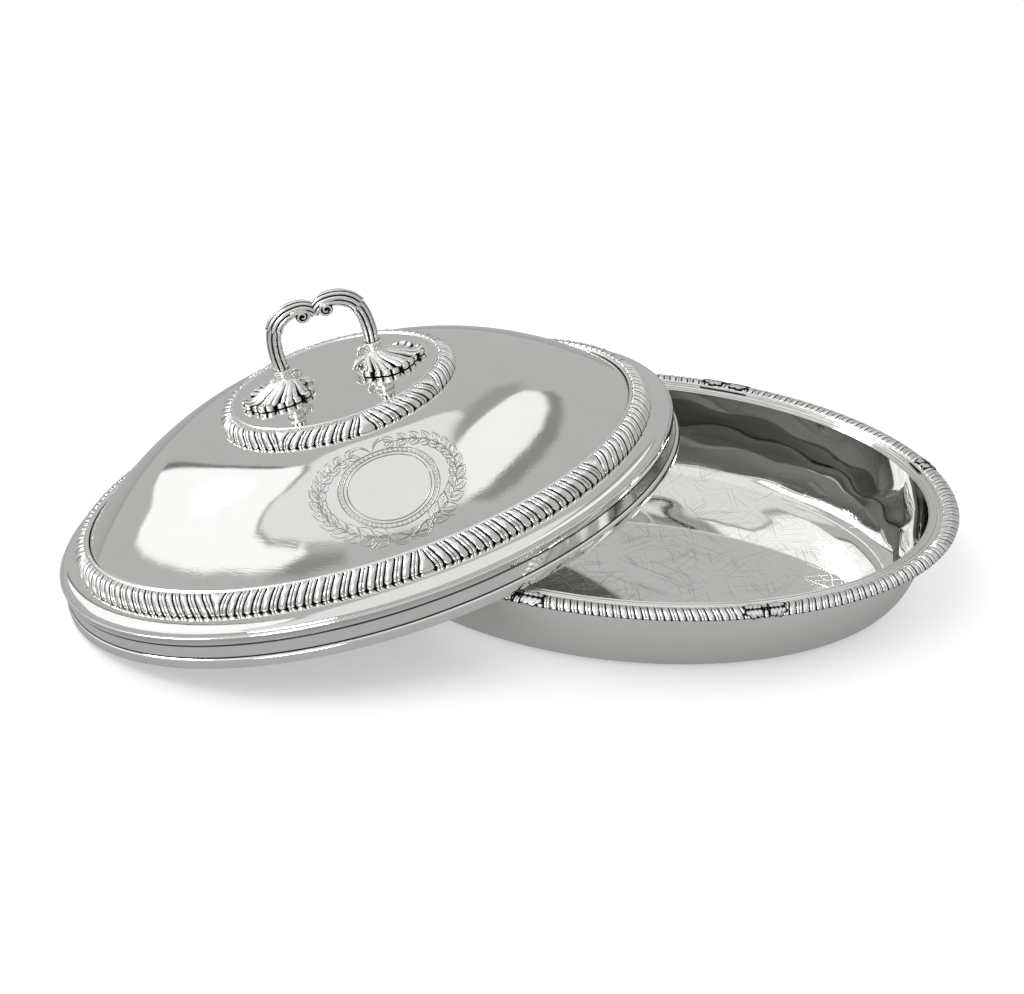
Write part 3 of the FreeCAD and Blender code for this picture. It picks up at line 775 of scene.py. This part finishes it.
def makeBowl():
    turns = circle(dish["segments"])
    count, size, sheet = dish["segments"], dish["size"], dish["sheet"]
    bowl, floor, flange, lip = dish["bowlOffset"], dish["floorOffset"], dish["flange"], dish["lip"]
    inner = [(dish["edgeOffset"], flange), (bowl + 2.6, flange), (bowl + 0.7, flange)]
    inner += quarter((bowl + lip, flange), (bowl, flange - lip), 3)[1:]
    inner += quarter((floor, sheet), (bowl, flange - 0.8), dish["wallRings"])[::-1][:-1]
    outer = quarter((floor, 0), (bowl + sheet, flange - sheet), dish["wallRings"])
    outer += [(dish["edgeOffset"], flange - sheet)]
    rings = [ringAt(size, *place, turns) for place in inner]
    for index, ring in enumerate(rings[6:]):
        depth = math.sin(math.pi * index / len(rings[6:])) * dish["ripple"]
        wave = sum(high * np.sin(many * turns + start + drift * index)
            for many, start, drift, high in dish["waves"])
        ring[:, 0] -= depth * wave * np.cos(turns)
        ring[:, 1] -= depth * wave * np.sin(turns)
    rings += [ringAt(size, floor, sheet, turns)] + flatOval(size, floor, sheet, dish["floorRings"], turns)
    below = flatOval(size, floor, 0, 3, turns)[::-1] + [ringAt(size, *place, turns) for place in outer]
    spots = np.concatenate(rings + [np.array([[0, 0, sheet], [0, 0, 0]])] + below)
    topCount = len(rings) * count
    faces = gridFaces(len(rings), count, False, True).tolist()
    faces += (gridFaces(len(below), count, False, True) + topCount + 2).tolist()
    served = np.zeros(len(spots))
    served[:topCount] = np.clip((dish["servedHeight"] - spots[:topCount, 2]) / dish["servedFade"], 0, 1)
    served[topCount] = 1
    # the two middles, and the outer edge
    for index in range(count):
        after = (index + 1) % count
        faces.append([topCount - count + index, topCount - count + after, topCount])
        faces.append([topCount + 2 + after, topCount + 2 + index, topCount + 1])
        faces.append([len(spots) - count + index, len(spots) - count + after, after, index])
    piece = makePiece("raised_bowl", spots, faces, {"served": served}, 50)
    finishPiece(piece, "dish", "sheet_silver", bowlMaterial, "dish_bowl")


def makeLedgeReeds():
    # two drawn wires on the ledge between the border and the bowl
    parts = []
    low = dish["flange"] - dish["reedSink"]
    for middle, radius in dish["reeds"]:
        profile = [(middle + radius * math.cos(a), low + radius * max(math.sin(a), 0))
                for a in np.linspace(0, math.pi, 10)]
        spots, faces = sweptOval(dish["size"], profile + [(middle, low)], dish["segments"])
        parts.append((spots, faces, np.zeros(len(spots))))
    spots, faces, hollow = joinParts(parts)
    reeds = makePiece("ledge_reeds", spots, faces, None, 50)
    finishPiece(reeds, "dish", "sheet_silver", sheetMaterial, "dish_rim_reed")


makeBowl()
makeLedgeReeds()
print("dish is ready")


# ---- cover

coverLook = {"segments": 360, "domeRings": 56, "ovoloRings": 10, "topRings": 10, "sharp": 50,
    "insideDot": -0.02}


def domeHeight(up):
    return cover["domeTop"] - (cover["domeTop"] - cover["domeFoot"]) * (1 - up) ** cover["domeCurve"]


def coverRings(thick, turns):
    # rings of one side of the sheet, from the wall up the quarter round and the dome to the top
    rings = []
    wall, ovolo = cover["wallHeight"], cover["ovoloRise"] - thick
    for step in range(coverLook["ovoloRings"] + 1):
        angle = math.pi / 2 * step / coverLook["ovoloRings"]
        inset = thick + (cover["ovoloWidth"] - thick) * (1 - math.cos(angle))
        rings.append(ringAt(cover["wall"], -inset, wall + ovolo * math.sin(angle), turns))
    shoulder = ovalRing(cover["wall"], -cover["domeInset"] - thick, turns)
    top = ovalRing(cover["step"], -thick, turns)
    rings.append(np.column_stack([shoulder, np.full(len(turns), wall + cover["ovoloRise"] - thick)]))
    for step in range(coverLook["domeRings"] + 1):
        up = step / coverLook["domeRings"]
        height = np.full(len(turns), domeHeight(up) - thick)
        rings.append(np.column_stack([shoulder + (top - shoulder) * up, height]))
    rings.append(ringAt(cover["top"], -thick, cover["topHeight"] - thick, turns))
    return rings + flatOval(cover["top"], -thick, cover["topHeight"] - thick, coverLook["topRings"], turns)


def makeDomeSheet():
    count = coverLook["segments"]
    turns = circle(count)
    outside = coverRings(0, turns)
    inside = coverRings(cover["sheet"], turns)
    tip = np.array([[0, 0, cover["topHeight"]], [0, 0, cover["topHeight"] - cover["sheet"]]])
    spots = np.concatenate(outside + inside + [tip])
    outCount = len(outside) * count
    faces = gridFaces(len(outside), count, False, True).tolist()
    faces += (gridFaces(len(inside), count, False, True)[:, ::-1] + outCount).tolist()
    for index in range(count):
        after = (index + 1) % count
        faces.append([outCount - count + index, outCount - count + after, 2 * outCount])
        faces.append([2 * outCount - count + after, 2 * outCount - count + index, 2 * outCount + 1])
        faces.append([after, index, outCount + index, outCount + after])
    return makePiece("raised_dome", laid(spots), faces, None, coverLook["sharp"])


keyhole = {"reach": 21.0, "slot": 2.3, "hole": 4.5, "turn": 14.0, "low": 66.0, "high": 74.0, "sides": 24,
    "steps": 8}


def polar(radius, angle):
    return np.array([radius * math.cos(angle), radius * math.sin(angle)])


def keyholeCutters():
    # a curved slot and a round hole at its end, twice, to take out of the flat top
    loops = []
    reach, slot, turn = keyhole["reach"], keyhole["slot"], math.radians(keyhole["turn"])
    ring = circle(keyhole["sides"])
    for start in (0, math.pi):
        spread = np.linspace(0, turn, keyhole["steps"])
        loops.append([polar(reach + slot, a + start) for a in spread]
                + [polar(reach - slot, a + start) for a in spread[::-1]])
        for radius, angle in ((slot, 0), (keyhole["hole"], turn)):
            loops.append([polar(reach, angle + start) + polar(radius, a) for a in ring])
    cutters = []
    for index, loop in enumerate(loops):
        count = len(loop)
        spots = np.array([(x, y, z) for z in (keyhole["low"], keyhole["high"]) for x, y in loop])
        faces = [list(range(count))[::-1], list(range(count, 2 * count))]
        faces += [[i, (i + 1) % count, count + (i + 1) % count, count + i] for i in range(count)]
        cutters.append(makePiece("cutter%d" % index, laid(spots), faces))
    return cutters


# each strip's profile of (offset, height, darkness): the darkness is painted shadow in the wall's corners
# with the wires, with some tarnish of the solder
wireBead = {"middle": (0.27, 15.45), "radius": 0.45, "turns": np.radians(np.linspace(-48, 118, 9))}
strips = {
    "wall_strip": ([(0, 0.05, 0), (0, 4.75, 1), (0, 5.3, 0.9), (0, 5.55, 0), (0, 10.9, 0), (0, 11.15, 0.85),
        (0, 12.3, 1), (0, 15.98, 0), (-1.2, 15.98, 0), (-1.2, 0.05, 0)], "cover_wall"),
    "edge_wire": ([(0.05, 12.2, 1), (0.4, 12.22, 0.3), (0.55, 12.45, 0), (0.55, 14.9, 0.3)]
        + [(wireBead["middle"][0] + wireBead["radius"] * math.cos(a),
        wireBead["middle"][1] + wireBead["radius"] * math.sin(a), 0) for a in wireBead["turns"]]
        + [(0.05, 16.0, 0.5)], "cover_edge_wire"),
    "foot_wire": ([(0.05, 0.0, 0), (1.0, 0.0, 0), (1.23, 0.15, 0), (1.3, 0.45, 0), (1.3, 3.3, 0),
            (1.24, 3.8, 0),
        (1.0, 4.3, 0), (0.55, 4.7, 0), (0.05, 4.8, 0.8)], "cover_foot_wire"),
}
solderSeam = {"turn": 18, "spread": 0.5, "depth": 0.55}


def makeCoverSheets():
    dome = makeDomeSheet()
    cutters = keyholeCutters()
    holes = bpy.data.collections.new("keyholes")
    for cutter in cutters:
        holes.objects.link(cutter)
    cut = dome.modifiers.new("keyholes", "BOOLEAN")
    cut.operation = "DIFFERENCE"
    cut.solver = "EXACT"
    cut.operand_type = "COLLECTION"
    cut.collection = holes
    seen = dome.evaluated_get(bpy.context.evaluated_depsgraph_get())
    mesh = bpy.data.meshes.new_from_object(seen)
    dome.modifiers.clear()
    dome.data = mesh
    mesh.name = dome.name
    mesh.shade_smooth()
    mesh.set_sharp_from_angle(angle=math.radians(coverLook["sharp"]))
    inside = [float(vert.normal.dot(coverUp) < coverLook["insideDot"]) for vert in mesh.vertices]
    mesh.attributes.new("inside", "FLOAT", "POINT").data.foreach_set("value", np.array(inside, np.float32))
    for cutter in cutters:
        bpy.data.objects.remove(cutter)
    bpy.data.collections.remove(holes)
    finishPiece(dome, "cover", "sheet_silver", sheetMaterial, "cover_dome")

    count = coverLook["segments"]
    for name, (profile, node) in strips.items():
        spots, faces = sweptOval(cover["wall"], [place[:2] for place in profile], count)
        # painted shadow, with some tarnish, where the wall meets the wires
        dark = np.repeat([place[2] for place in profile], count)
        inside = np.repeat([float(place[0] < 0) for place in profile], count)
        if name == "wall_strip":
            # a rougher patch where the strip's ends are soldered together
            turns = np.linspace(-math.pi, math.pi, count, endpoint=False)
            seam = np.exp(-((turns + math.radians(solderSeam["turn"])) / solderSeam["spread"]) ** 2)
            seam = np.roll(seam, count // 2) * solderSeam["depth"]
            inside = np.maximum(inside, np.tile(seam, len(profile)))
        strip = makePiece(name, laid(spots), faces, {"hollow": dark, "inside": inside}, 35)
        finishPiece(strip, "cover", "sheet_silver", sheetMaterial, node)


makeCoverSheets()
print("cover is ready")


# ---- engraving on the front of the dome: a plain oval in a laurel wreath, tied with a ribbon

engraving = {
    "up": 0.41, "turn": -87.0, "lean": 3.0, "oval": (18.5, 14.5), "rings": (1.0, 1.09, 1.22), "line": 0.23,
    "leaves": 13, "leafLength": 8.2, "leafWidth": 2.3, "leafSwings": (-34, 30), "wreath": (31.5, 20.5),
    "beads": 60, "beadRing": 1.155, "beadRadius": 0.55, "bowDrop": 2.2, "lift": 0.05, "sunk": 0.12,
}


def domeSurface(up, turn):
    shoulder = ovalRing(cover["wall"], -cover["domeInset"], turn)
    ring = shoulder + (ovalRing(cover["step"], 0, turn) - shoulder) * up[:, None]
    return np.column_stack([ring, domeHeight(up)])


def domeSpots(places, lift):
    # places in millimetres on the flattened front of the dome, as points of its surface
    middleTurn, lean = math.radians(engraving["turn"]), math.radians(engraving["lean"])
    x = places[:, 0] * math.cos(lean) - places[:, 1] * math.sin(lean)
    y = places[:, 0] * math.sin(lean) + places[:, 1] * math.cos(lean)
    ups = np.linspace(0, 1, 201)
    way = wayAlong(domeSurface(ups, np.full(201, middleTurn)))
    up = np.interp(y + np.interp(engraving["up"], ups, way), way, ups)
    step = 1e-3
    middle = np.full(len(up), middleTurn)
    moved = domeSurface(up, np.full(len(up), middleTurn + step)) - domeSurface(up, middle)
    turn = middleTurn + x / (np.linalg.norm(moved, axis=1) / step)
    spots = domeSurface(up, turn)
    normal = np.cross(domeSurface(up, turn + step) - spots, domeSurface(up + step, turn) - spots)
    normal /= np.linalg.norm(normal, axis=1)[:, None]
    return spots + normal * lift


def engravedLine(points, width):
    # closed thin strip that lies in the surface, narrowing at both ends
    points = np.asarray(points, float)
    way = np.gradient(points, axis=0)
    way /= np.maximum(np.linalg.norm(way, axis=1), 1e-9)[:, None]
    side = np.column_stack([-way[:, 1], way[:, 0]])
    count = len(points)
    toEnd = np.minimum(np.arange(count), np.arange(count)[::-1])
    side *= width * np.clip(toEnd / 3 + 0.25, 0, 1)[:, None]
    rows = [(points + side, engraving["lift"]), (points - side, engraving["lift"]),
            (points - side, -engraving["sunk"]), (points + side, -engraving["sunk"])]
    spots = np.concatenate([domeSpots(row, lift) for row, lift in rows])
    faces = gridFaces(4, count, True, False).tolist()
    faces += [[0, count, 2 * count, 3 * count], [count - 1, 2 * count - 1, 3 * count - 1, 4 * count - 1]]
    return spots, faces, np.zeros(len(spots))


def makeEngraving():
    lines = []

    def draw(x, y, weight=1.0):
        lines.append((np.column_stack([x, y]), engraving["line"] * weight))

    around = np.linspace(0, 2 * math.pi, 121)
    small = np.linspace(0, 2 * math.pi, 9)
    wide, tall = engraving["oval"]
    for ring in engraving["rings"]:
        draw(wide * ring * np.cos(around), tall * ring * np.sin(around), 1.2)
    # small beads between the outer two lines of the frame
    ring, radius = engraving["beadRing"], engraving["beadRadius"]
    for angle in circle(engraving["beads"]):
        draw(wide * ring * math.cos(angle) + radius * np.cos(small),
             tall * ring * math.sin(angle) + radius * np.sin(small), 0.7)
    # laurel branches up both sides, each leaf with its rib and a few shading strokes
    reachX, reachY = engraving["wreath"]
    stem = np.linspace(math.radians(-84), math.radians(72), 60)
    share = np.linspace(0, 1, 13)
    for side in (1, -1):
        draw(side * reachX * np.cos(stem), reachY * np.sin(stem))
        for index in range(engraving["leaves"]):
            angle = math.radians(-72 + 142 * index / (engraving["leaves"] - 1))
            root = np.array([side * reachX * math.cos(angle), reachY * math.sin(angle)])
            along = np.array([-side * reachX * math.sin(angle), reachY * math.cos(angle)])
            along /= np.linalg.norm(along)
            up = index / engraving["leaves"]
            belly = engraving["leafWidth"] * np.sin(np.pi * share ** 0.8) * (1 - 0.3 * up)
            for swing in engraving["leafSwings"]:
                turn = math.radians(swing * side)
                way = np.array([along[0] * math.cos(turn) - along[1] * math.sin(turn),
                        along[0] * math.sin(turn) + along[1] * math.cos(turn)])
                cross = np.array([-way[1], way[0]])
                rib = root + np.outer(share * engraving["leafLength"] * (1 - 0.35 * up), way)
                draw(*(rib + np.outer(belly, cross)).T)
                draw(*(rib - np.outer(belly, cross)).T)
                draw(*rib[:11].T, 0.7)
                for place in (4, 6, 8):
                    stroke = cross * belly[place] * swing / abs(swing) + way * 0.9
                    draw(*(rib[place] + np.outer(np.linspace(0, 0.75, 5), stroke)).T, 0.6)
    # ribbon bow with its knot where the branches cross, and a small leaf spray on top
    bow = -reachY - engraving["bowDrop"]
    for size in (1.0, 0.55):
        draw(1.5 * size * np.cos(around), 2.3 * size * np.sin(around) + bow)
    loop = np.linspace(0, 2 * math.pi, 40)
    swell = (1 - np.cos(loop)) / 2
    tail = np.linspace(0, 1, 30)
    share = np.linspace(0, 1, 20)
    for side in (1, -1):
        for size in (1.0, 0.72):
            draw(side * (0.9 + 9.0 * size * swell), 2.9 * size * np.sin(loop) * swell + 1.6 * swell + bow)
        for shift in (0.0, 1.7):
            draw(side * (0.6 + 20 * tail),
                 4.5 * tail ** 1.5 - 2.0 * np.sin(7.5 * tail) - shift * (0.4 + tail) + bow - 0.2)
        for index in range(3):
            draw(side * (0.6 + (2.5 + 3.2 * index) * share ** 1.3),
                 tall * 1.22 + 0.6 + (6.5 - 1.3 * index) * np.sin(share * math.pi / 2 * (0.5 + 0.5 * index)))
    spots, faces, hollow = joinParts([engravedLine(*line) for line in lines])
    piece = makePiece("engraved_wreath", laid(spots), faces, None, 0)
    finishPiece(piece, "cover", "sheet_silver", cutLine())


makeEngraving()
print("engraving is ready")


# ---- handle

handle = {
    "line": [(21.0, 85.0), (21.4, 89.6), (21.3, 93.9), (20.7, 98.8), (19.3, 103.1), (16.9, 106.6),
            (13.1, 109.1),
        (8.8, 110.15), (4.8, 110.0), (1.7, 108.5), (-0.5, 106.1)],
    "stemRadius": 3.4, "sheathRadius": 4.1, "crownHalf": (3.3, 3.0), "stemReeds": 8, "sheathReeds": 10,
    "reedDepth": 0.38, "mouthHeight": 103.6, "middleGap": 0.06,
    # how far each reed of the sheath runs out at its mouth, over so many rows
    "frayed": [0.6, 1.4, 0.9, 1.7, 0.5, 1.2, 1.6, 0.8, 1.3, 1.0], "frayRows": 14, "frayLength": 2.2,
    "lead": [(14.3, 107.0), (11.5, 108.6), (8.9, 109.8)], "eye": (5.5, 106.7),
    "coreRadius": 3.0, "coreHalf": 2.9, "coreSides": 40, "coreShade": 0.7,
}
# start in degrees, whole turn, radius at the start, how it shrinks, least radius and points
stemCoil = (75, 360 * 1.7, 2.95, 0.85, 0.35, 90)
footCoil = (5, 500, 2.0, 0.8, 0.4, 46)


def smoothLine(corners, count):
    # Catmull-Rom line through the corners, evenly spaced
    corners = np.array(corners, float)
    padded = np.vstack([2 * corners[0] - corners[1], corners, 2 * corners[-1] - corners[-2]])
    line = []
    for i in range(1, len(padded) - 2):
        a, b, c, d = padded[i - 1:i + 3]
        for t in np.linspace(0, 1, 24, endpoint=False):
            bend = (2 * a - 5 * b + 4 * c - d) * t * t + (3 * b - a - 3 * c + d) * t ** 3
            line.append(0.5 * (2 * b + (c - a) * t + bend))
    line = np.array(line + [padded[-2]])
    way = wayAlong(line)
    even = np.linspace(0, way[-1], count)
    return np.column_stack([np.interp(even, way, line[:, 0]), np.interp(even, way, line[:, 1])])


def coiled(eye, start, whole, radius, power, least, count):
    # spiral that rolls up round its eye
    return [np.array(eye) + polar(radius * (1 - turn) ** power + least, math.radians(start + whole * turn))
            for turn in np.linspace(0, 1, count)]


def twoRamps(values, first, second):
    # from the first value to the second along the lead, and on to the third along the coil
    return np.concatenate([np.linspace(*values[:2], first), np.linspace(*values[1:], second)])


def reededSweep(line, tall, wide, reeds, depth, perReed=8, bluntness=1.0):
    # bar of reeds along a line in the handle's plane; tall and wide are its half sizes along the way
    count = reeds * perReed
    angles = 2 * np.pi * np.arange(count) / count
    place = np.mod(angles * reeds / (2 * np.pi) + 0.5, 1) * 2 - 1
    arch = np.sqrt(np.clip(1 - place ** 2, 0, 1))
    way = np.gradient(line, axis=0)
    way /= np.linalg.norm(way, axis=1)[:, None]
    up, side = [np.sign(part) * np.abs(part) ** bluntness for part in (np.cos(angles), np.sin(angles))]
    spots, hollow = [], []
    for index, (x, z) in enumerate(line):
        cut = 1 - depth[index] * (1 - arch)
        rise = tall[index] * up * cut
        over = way[index]
        spots.append(np.column_stack([x + rise * over[1], wide[index] * side * cut, z - rise * over[0]]))
        hollow.append(np.abs(place) ** 3 * min(1, depth[index] * 4))
    return np.concatenate(spots), tubeFaces(len(line), count), np.concatenate(hollow)


def bothSides(parts, name, node):
    spots, faces, hollow = joinParts(parts)
    for side, turn in (("right", 1), ("left", -1)):
        turned = spots * np.array([turn, turn, 1])
        piece = makePiece(name + "_" + side, laid(turned), faces, {"hollow": hollow}, 45)
        finishPiece(piece, "handle", "cast_silver", castMaterial, node + "_" + side)


def makeSheath(whole):
    # from its ragged mouth over the crown, where the two sheaths meet
    share = np.linspace(0, 1, len(whole))
    radius, reeds, (tallEnd, wideEnd) = handle["sheathRadius"], handle["sheathReeds"], handle["crownHalf"]
    tall = radius + (tallEnd - radius) * np.clip(share * 1.25 - 0.25, 0, 1) ** 1.2
    wide = radius + (wideEnd - radius) * share ** 2
    spots, faces, hollow = reededSweep(whole, tall, wide, reeds, np.full(len(whole), handle["reedDepth"]))
    # ragged mouth: each reed ends in its own point
    columns = reeds * 8
    reach = np.abs(np.mod(np.arange(columns) * reeds / columns + 0.5, 1) * 2 - 1)
    frayed = np.array(handle["frayed"])[(np.arange(columns) * reeds // columns) % len(handle["frayed"])]
    way = (whole[3] - whole[0]) / np.linalg.norm(whole[3] - whole[0])
    grid = spots.reshape(len(whole), columns, 3)
    for row in range(handle["frayRows"]):
        shift = (frayed * (0.5 - reach)) * (1 - row / handle["frayRows"]) ** 1.5 * handle["frayLength"]
        grid[row, :, 0] -= way[0] * shift
        grid[row, :, 2] -= way[1] * shift
    # painted shade round the sheath's mouth, where the stem goes in
    hollow[:2 * columns] = 0.95
    grid[:, :, 0] = np.maximum(grid[:, :, 0], handle["middleGap"])
    return grid.reshape(-1, 3), faces, hollow


def makeCore():
    # dark core inside the coil of a volute: painted shade between its turns
    (x, z), count, radius = handle["eye"], handle["coreSides"], handle["coreRadius"]
    ring = circle(count)
    spots = [np.column_stack([x + radius * np.cos(ring), np.full(count, side * handle["coreHalf"]),
        z + radius * np.sin(ring)]) for side in (-1, 1)]
    return np.concatenate(spots), tubeFaces(2, count), np.full(2 * count, handle["coreShade"])


def makeStems():
    line = smoothLine(handle["line"], 200)
    mouth = int(np.argmin(np.abs(line[:, 1] - handle["mouthHeight"]) + (line[:, 0] < 15) * 50))
    stem = line[:mouth + 4:2]
    radius = np.full(len(stem), handle["stemRadius"])
    depth = np.full(len(stem), handle["reedDepth"])
    bothSides([reededSweep(stem, radius, radius, handle["stemReeds"], depth)], "reeded_stem", "handle_stem")
    # volute: a ribbon that leaves the underside of the sheath and rolls up
    coil = coiled(handle["eye"], *stemCoil)
    lead = smoothLine(handle["lead"] + [tuple(coil[0])], 16)[:-1]
    ribbon = np.vstack([lead, coil])
    volute = reededSweep(ribbon, twoRamps((0.9, 0.72, 0.45), len(lead), len(coil)),
            twoRamps((2.6, 3.3, 3.7), len(lead), len(coil)), 4, np.full(len(ribbon), 0.02), 6, 0.4)
    bothSides([makeSheath(line[mouth:]), volute, makeCore()], "volute_sheath", "handle_scroll")


collar = {
    "middle": 21.0, "sides": 48, "grooves": (82.5, 84.7),
    "profile": [(3.85, 80.02), (4.05, 80.3), (3.95, 80.9), (3.8, 81.6), (3.8, 82.3), (3.9, 82.5),
            (4.2, 82.65),
        (4.35, 83.0), (4.35, 83.9), (4.2, 84.3), (3.9, 84.45), (3.75, 84.7), (3.8, 84.98)],
}


def makeCollars():
    sides, profile = collar["sides"], collar["profile"]
    ring = circle(sides)
    spots = [np.column_stack([collar["middle"] + radius * np.cos(ring), radius * np.sin(ring),
            np.full(sides, height)]) for radius, height in profile]
    hollow = np.repeat([0.9 if height in collar["grooves"] else 0.1 for radius, height in profile], sides)
    parts = [(np.concatenate(spots), tubeFaces(len(profile), sides), hollow)]
    bothSides(parts, "turned_collar", "handle_collar")


foot = {
    "middle": 26.0, "neck": 21.0, "half": (16.3, 13.5), "bottom": 71.3, "top": 80.0, "neckRadius": 3.7,
    "leaves": 7, "scallops": 3, "perScallop": 10, "rings": 30, "leafDepth": 0.15, "scallopDepth": 0.07,
    "edgeThick": 2.1, "edgeShare": 0.25, "underShade": 0.4,
    # scroll on the inner side, from the rim up beside the neck and over into its eye
    "scroll": [(9.6, 73.6), (11.6, 76.0), (14.4, 76.9), (17.0, 78.2), (18.0, 80.4)],
    "scrollEye": (15.3, 80.3),
}


def makeShell():
    scallops = foot["leaves"] * foot["scallops"]
    count = scallops * foot["perScallop"]
    angles = 2 * np.pi * np.arange(count) / count
    leafPlace, place = [np.mod(angles * many / (2 * np.pi) + 0.5, 1) * 2 - 1
        for many in (foot["leaves"], scallops)]
    leaf, arch = [np.sqrt(np.clip(1 - spot ** 2, 0, 1)) for spot in (leafPlace, place)]
    # the leaves differ a little, as cast and chased work does
    uneven = 1 + 0.05 * np.sin(3 * angles + 0.8) + 0.04 * np.sin(5 * angles + 2.0)
    halfX, halfY = foot["half"]
    edge = 1 - foot["leafDepth"] * (1 - leaf) - foot["scallopDepth"] * (1 - arch)
    spots, hollow = [], []
    # the underside, where the foot stands on the plateau, gets painted shade
    for spread in (0.15, 0.88):
        reach = spread * edge * uneven
        spots.append(np.column_stack([foot["middle"] + halfX * reach * np.cos(angles),
            halfY * reach * np.sin(angles), np.full(count, foot["bottom"])]))
        hollow.append(np.full(count, foot["underShade"]))
    # the rolled edge, then the furrowed leaves up to the neck
    thick, neck = foot["edgeThick"], foot["neckRadius"]
    for ring in range(foot["rings"] + 1):
        share = ring / foot["rings"]
        lift = min(share / foot["edgeShare"], 1)
        if share < foot["edgeShare"]:
            gather = 0.0
            spread = 0.9 + 0.1 * math.sin(lift * math.pi) ** 0.6 if ring else 0.9
            height = thick * (1 - math.cos(lift * math.pi)) / 2
        else:
            gather = (share - foot["edgeShare"]) / (1 - foot["edgeShare"])
            spread = 0.9 * (1 - gather)
            height = thick + (foot["top"] - foot["bottom"] - thick) * gather ** 1.9
            height -= 1.3 * math.sin(math.pi * min(gather * 2.2, 1)) * (1 - gather)
        middle = foot["middle"] + (foot["neck"] - foot["middle"]) * min(gather * 1.25, 1) ** 1.2
        fade, near = (1 - gather) ** 0.5, (1 - gather) ** 1.6
        reach = 1 - (foot["leafDepth"] * (1 - leaf) * fade + foot["scallopDepth"] * (1 - arch) * near)
        reach *= 1 + (uneven - 1) * (1 - gather)
        ridge = (leaf - 0.65) * 2.1 * fade + (arch - 0.6) * 0.9 * (0.35 + 0.65 * near) * (1 - gather ** 4)
        spots.append(np.column_stack([middle + (neck + (halfX - neck) * spread) * reach * np.cos(angles),
                (neck + (halfY - neck) * spread) * reach * np.sin(angles),
                foot["bottom"] + height + np.maximum(ridge * lift, -height * 0.75)]))
        furrow = np.maximum(np.abs(leafPlace) ** 5 * fade, np.abs(place) ** 4 * 0.85 * (0.3 + 0.7 * near))
        # painted contact shadow along the bottom of the rolled edge, and tarnish in the furrows
        hollow.append(np.maximum(furrow, 0.42 - share / 0.1))
    return np.concatenate(spots), tubeFaces(len(spots), count), np.concatenate(hollow)


def makeFeet():
    coil = coiled(foot["scrollEye"], *footCoil)
    lead = smoothLine(foot["scroll"] + [tuple(coil[0])], 30)[:-1]
    thick = twoRamps((1.3, 0.9, 0.45), len(lead), len(coil))
    width = twoRamps((2.6, 1.6, 1.9), len(lead), len(coil))
    curl = reededSweep(np.vstack([lead, coil]), thick, width, 2, np.full(len(thick), 0.1), 12, 0.6)
    bothSides([makeShell(), curl], "shell_foot", "handle_foot")


makeStems()
makeCollars()
makeFeet()
for nodeName in ("lock_plate", "lock_stud_left", "lock_stud_right"):
    frame["nodes"][nodeName].data.materials.clear()
    frame["nodes"][nodeName].data.materials.append(sheetMaterial)
print("handle is ready")
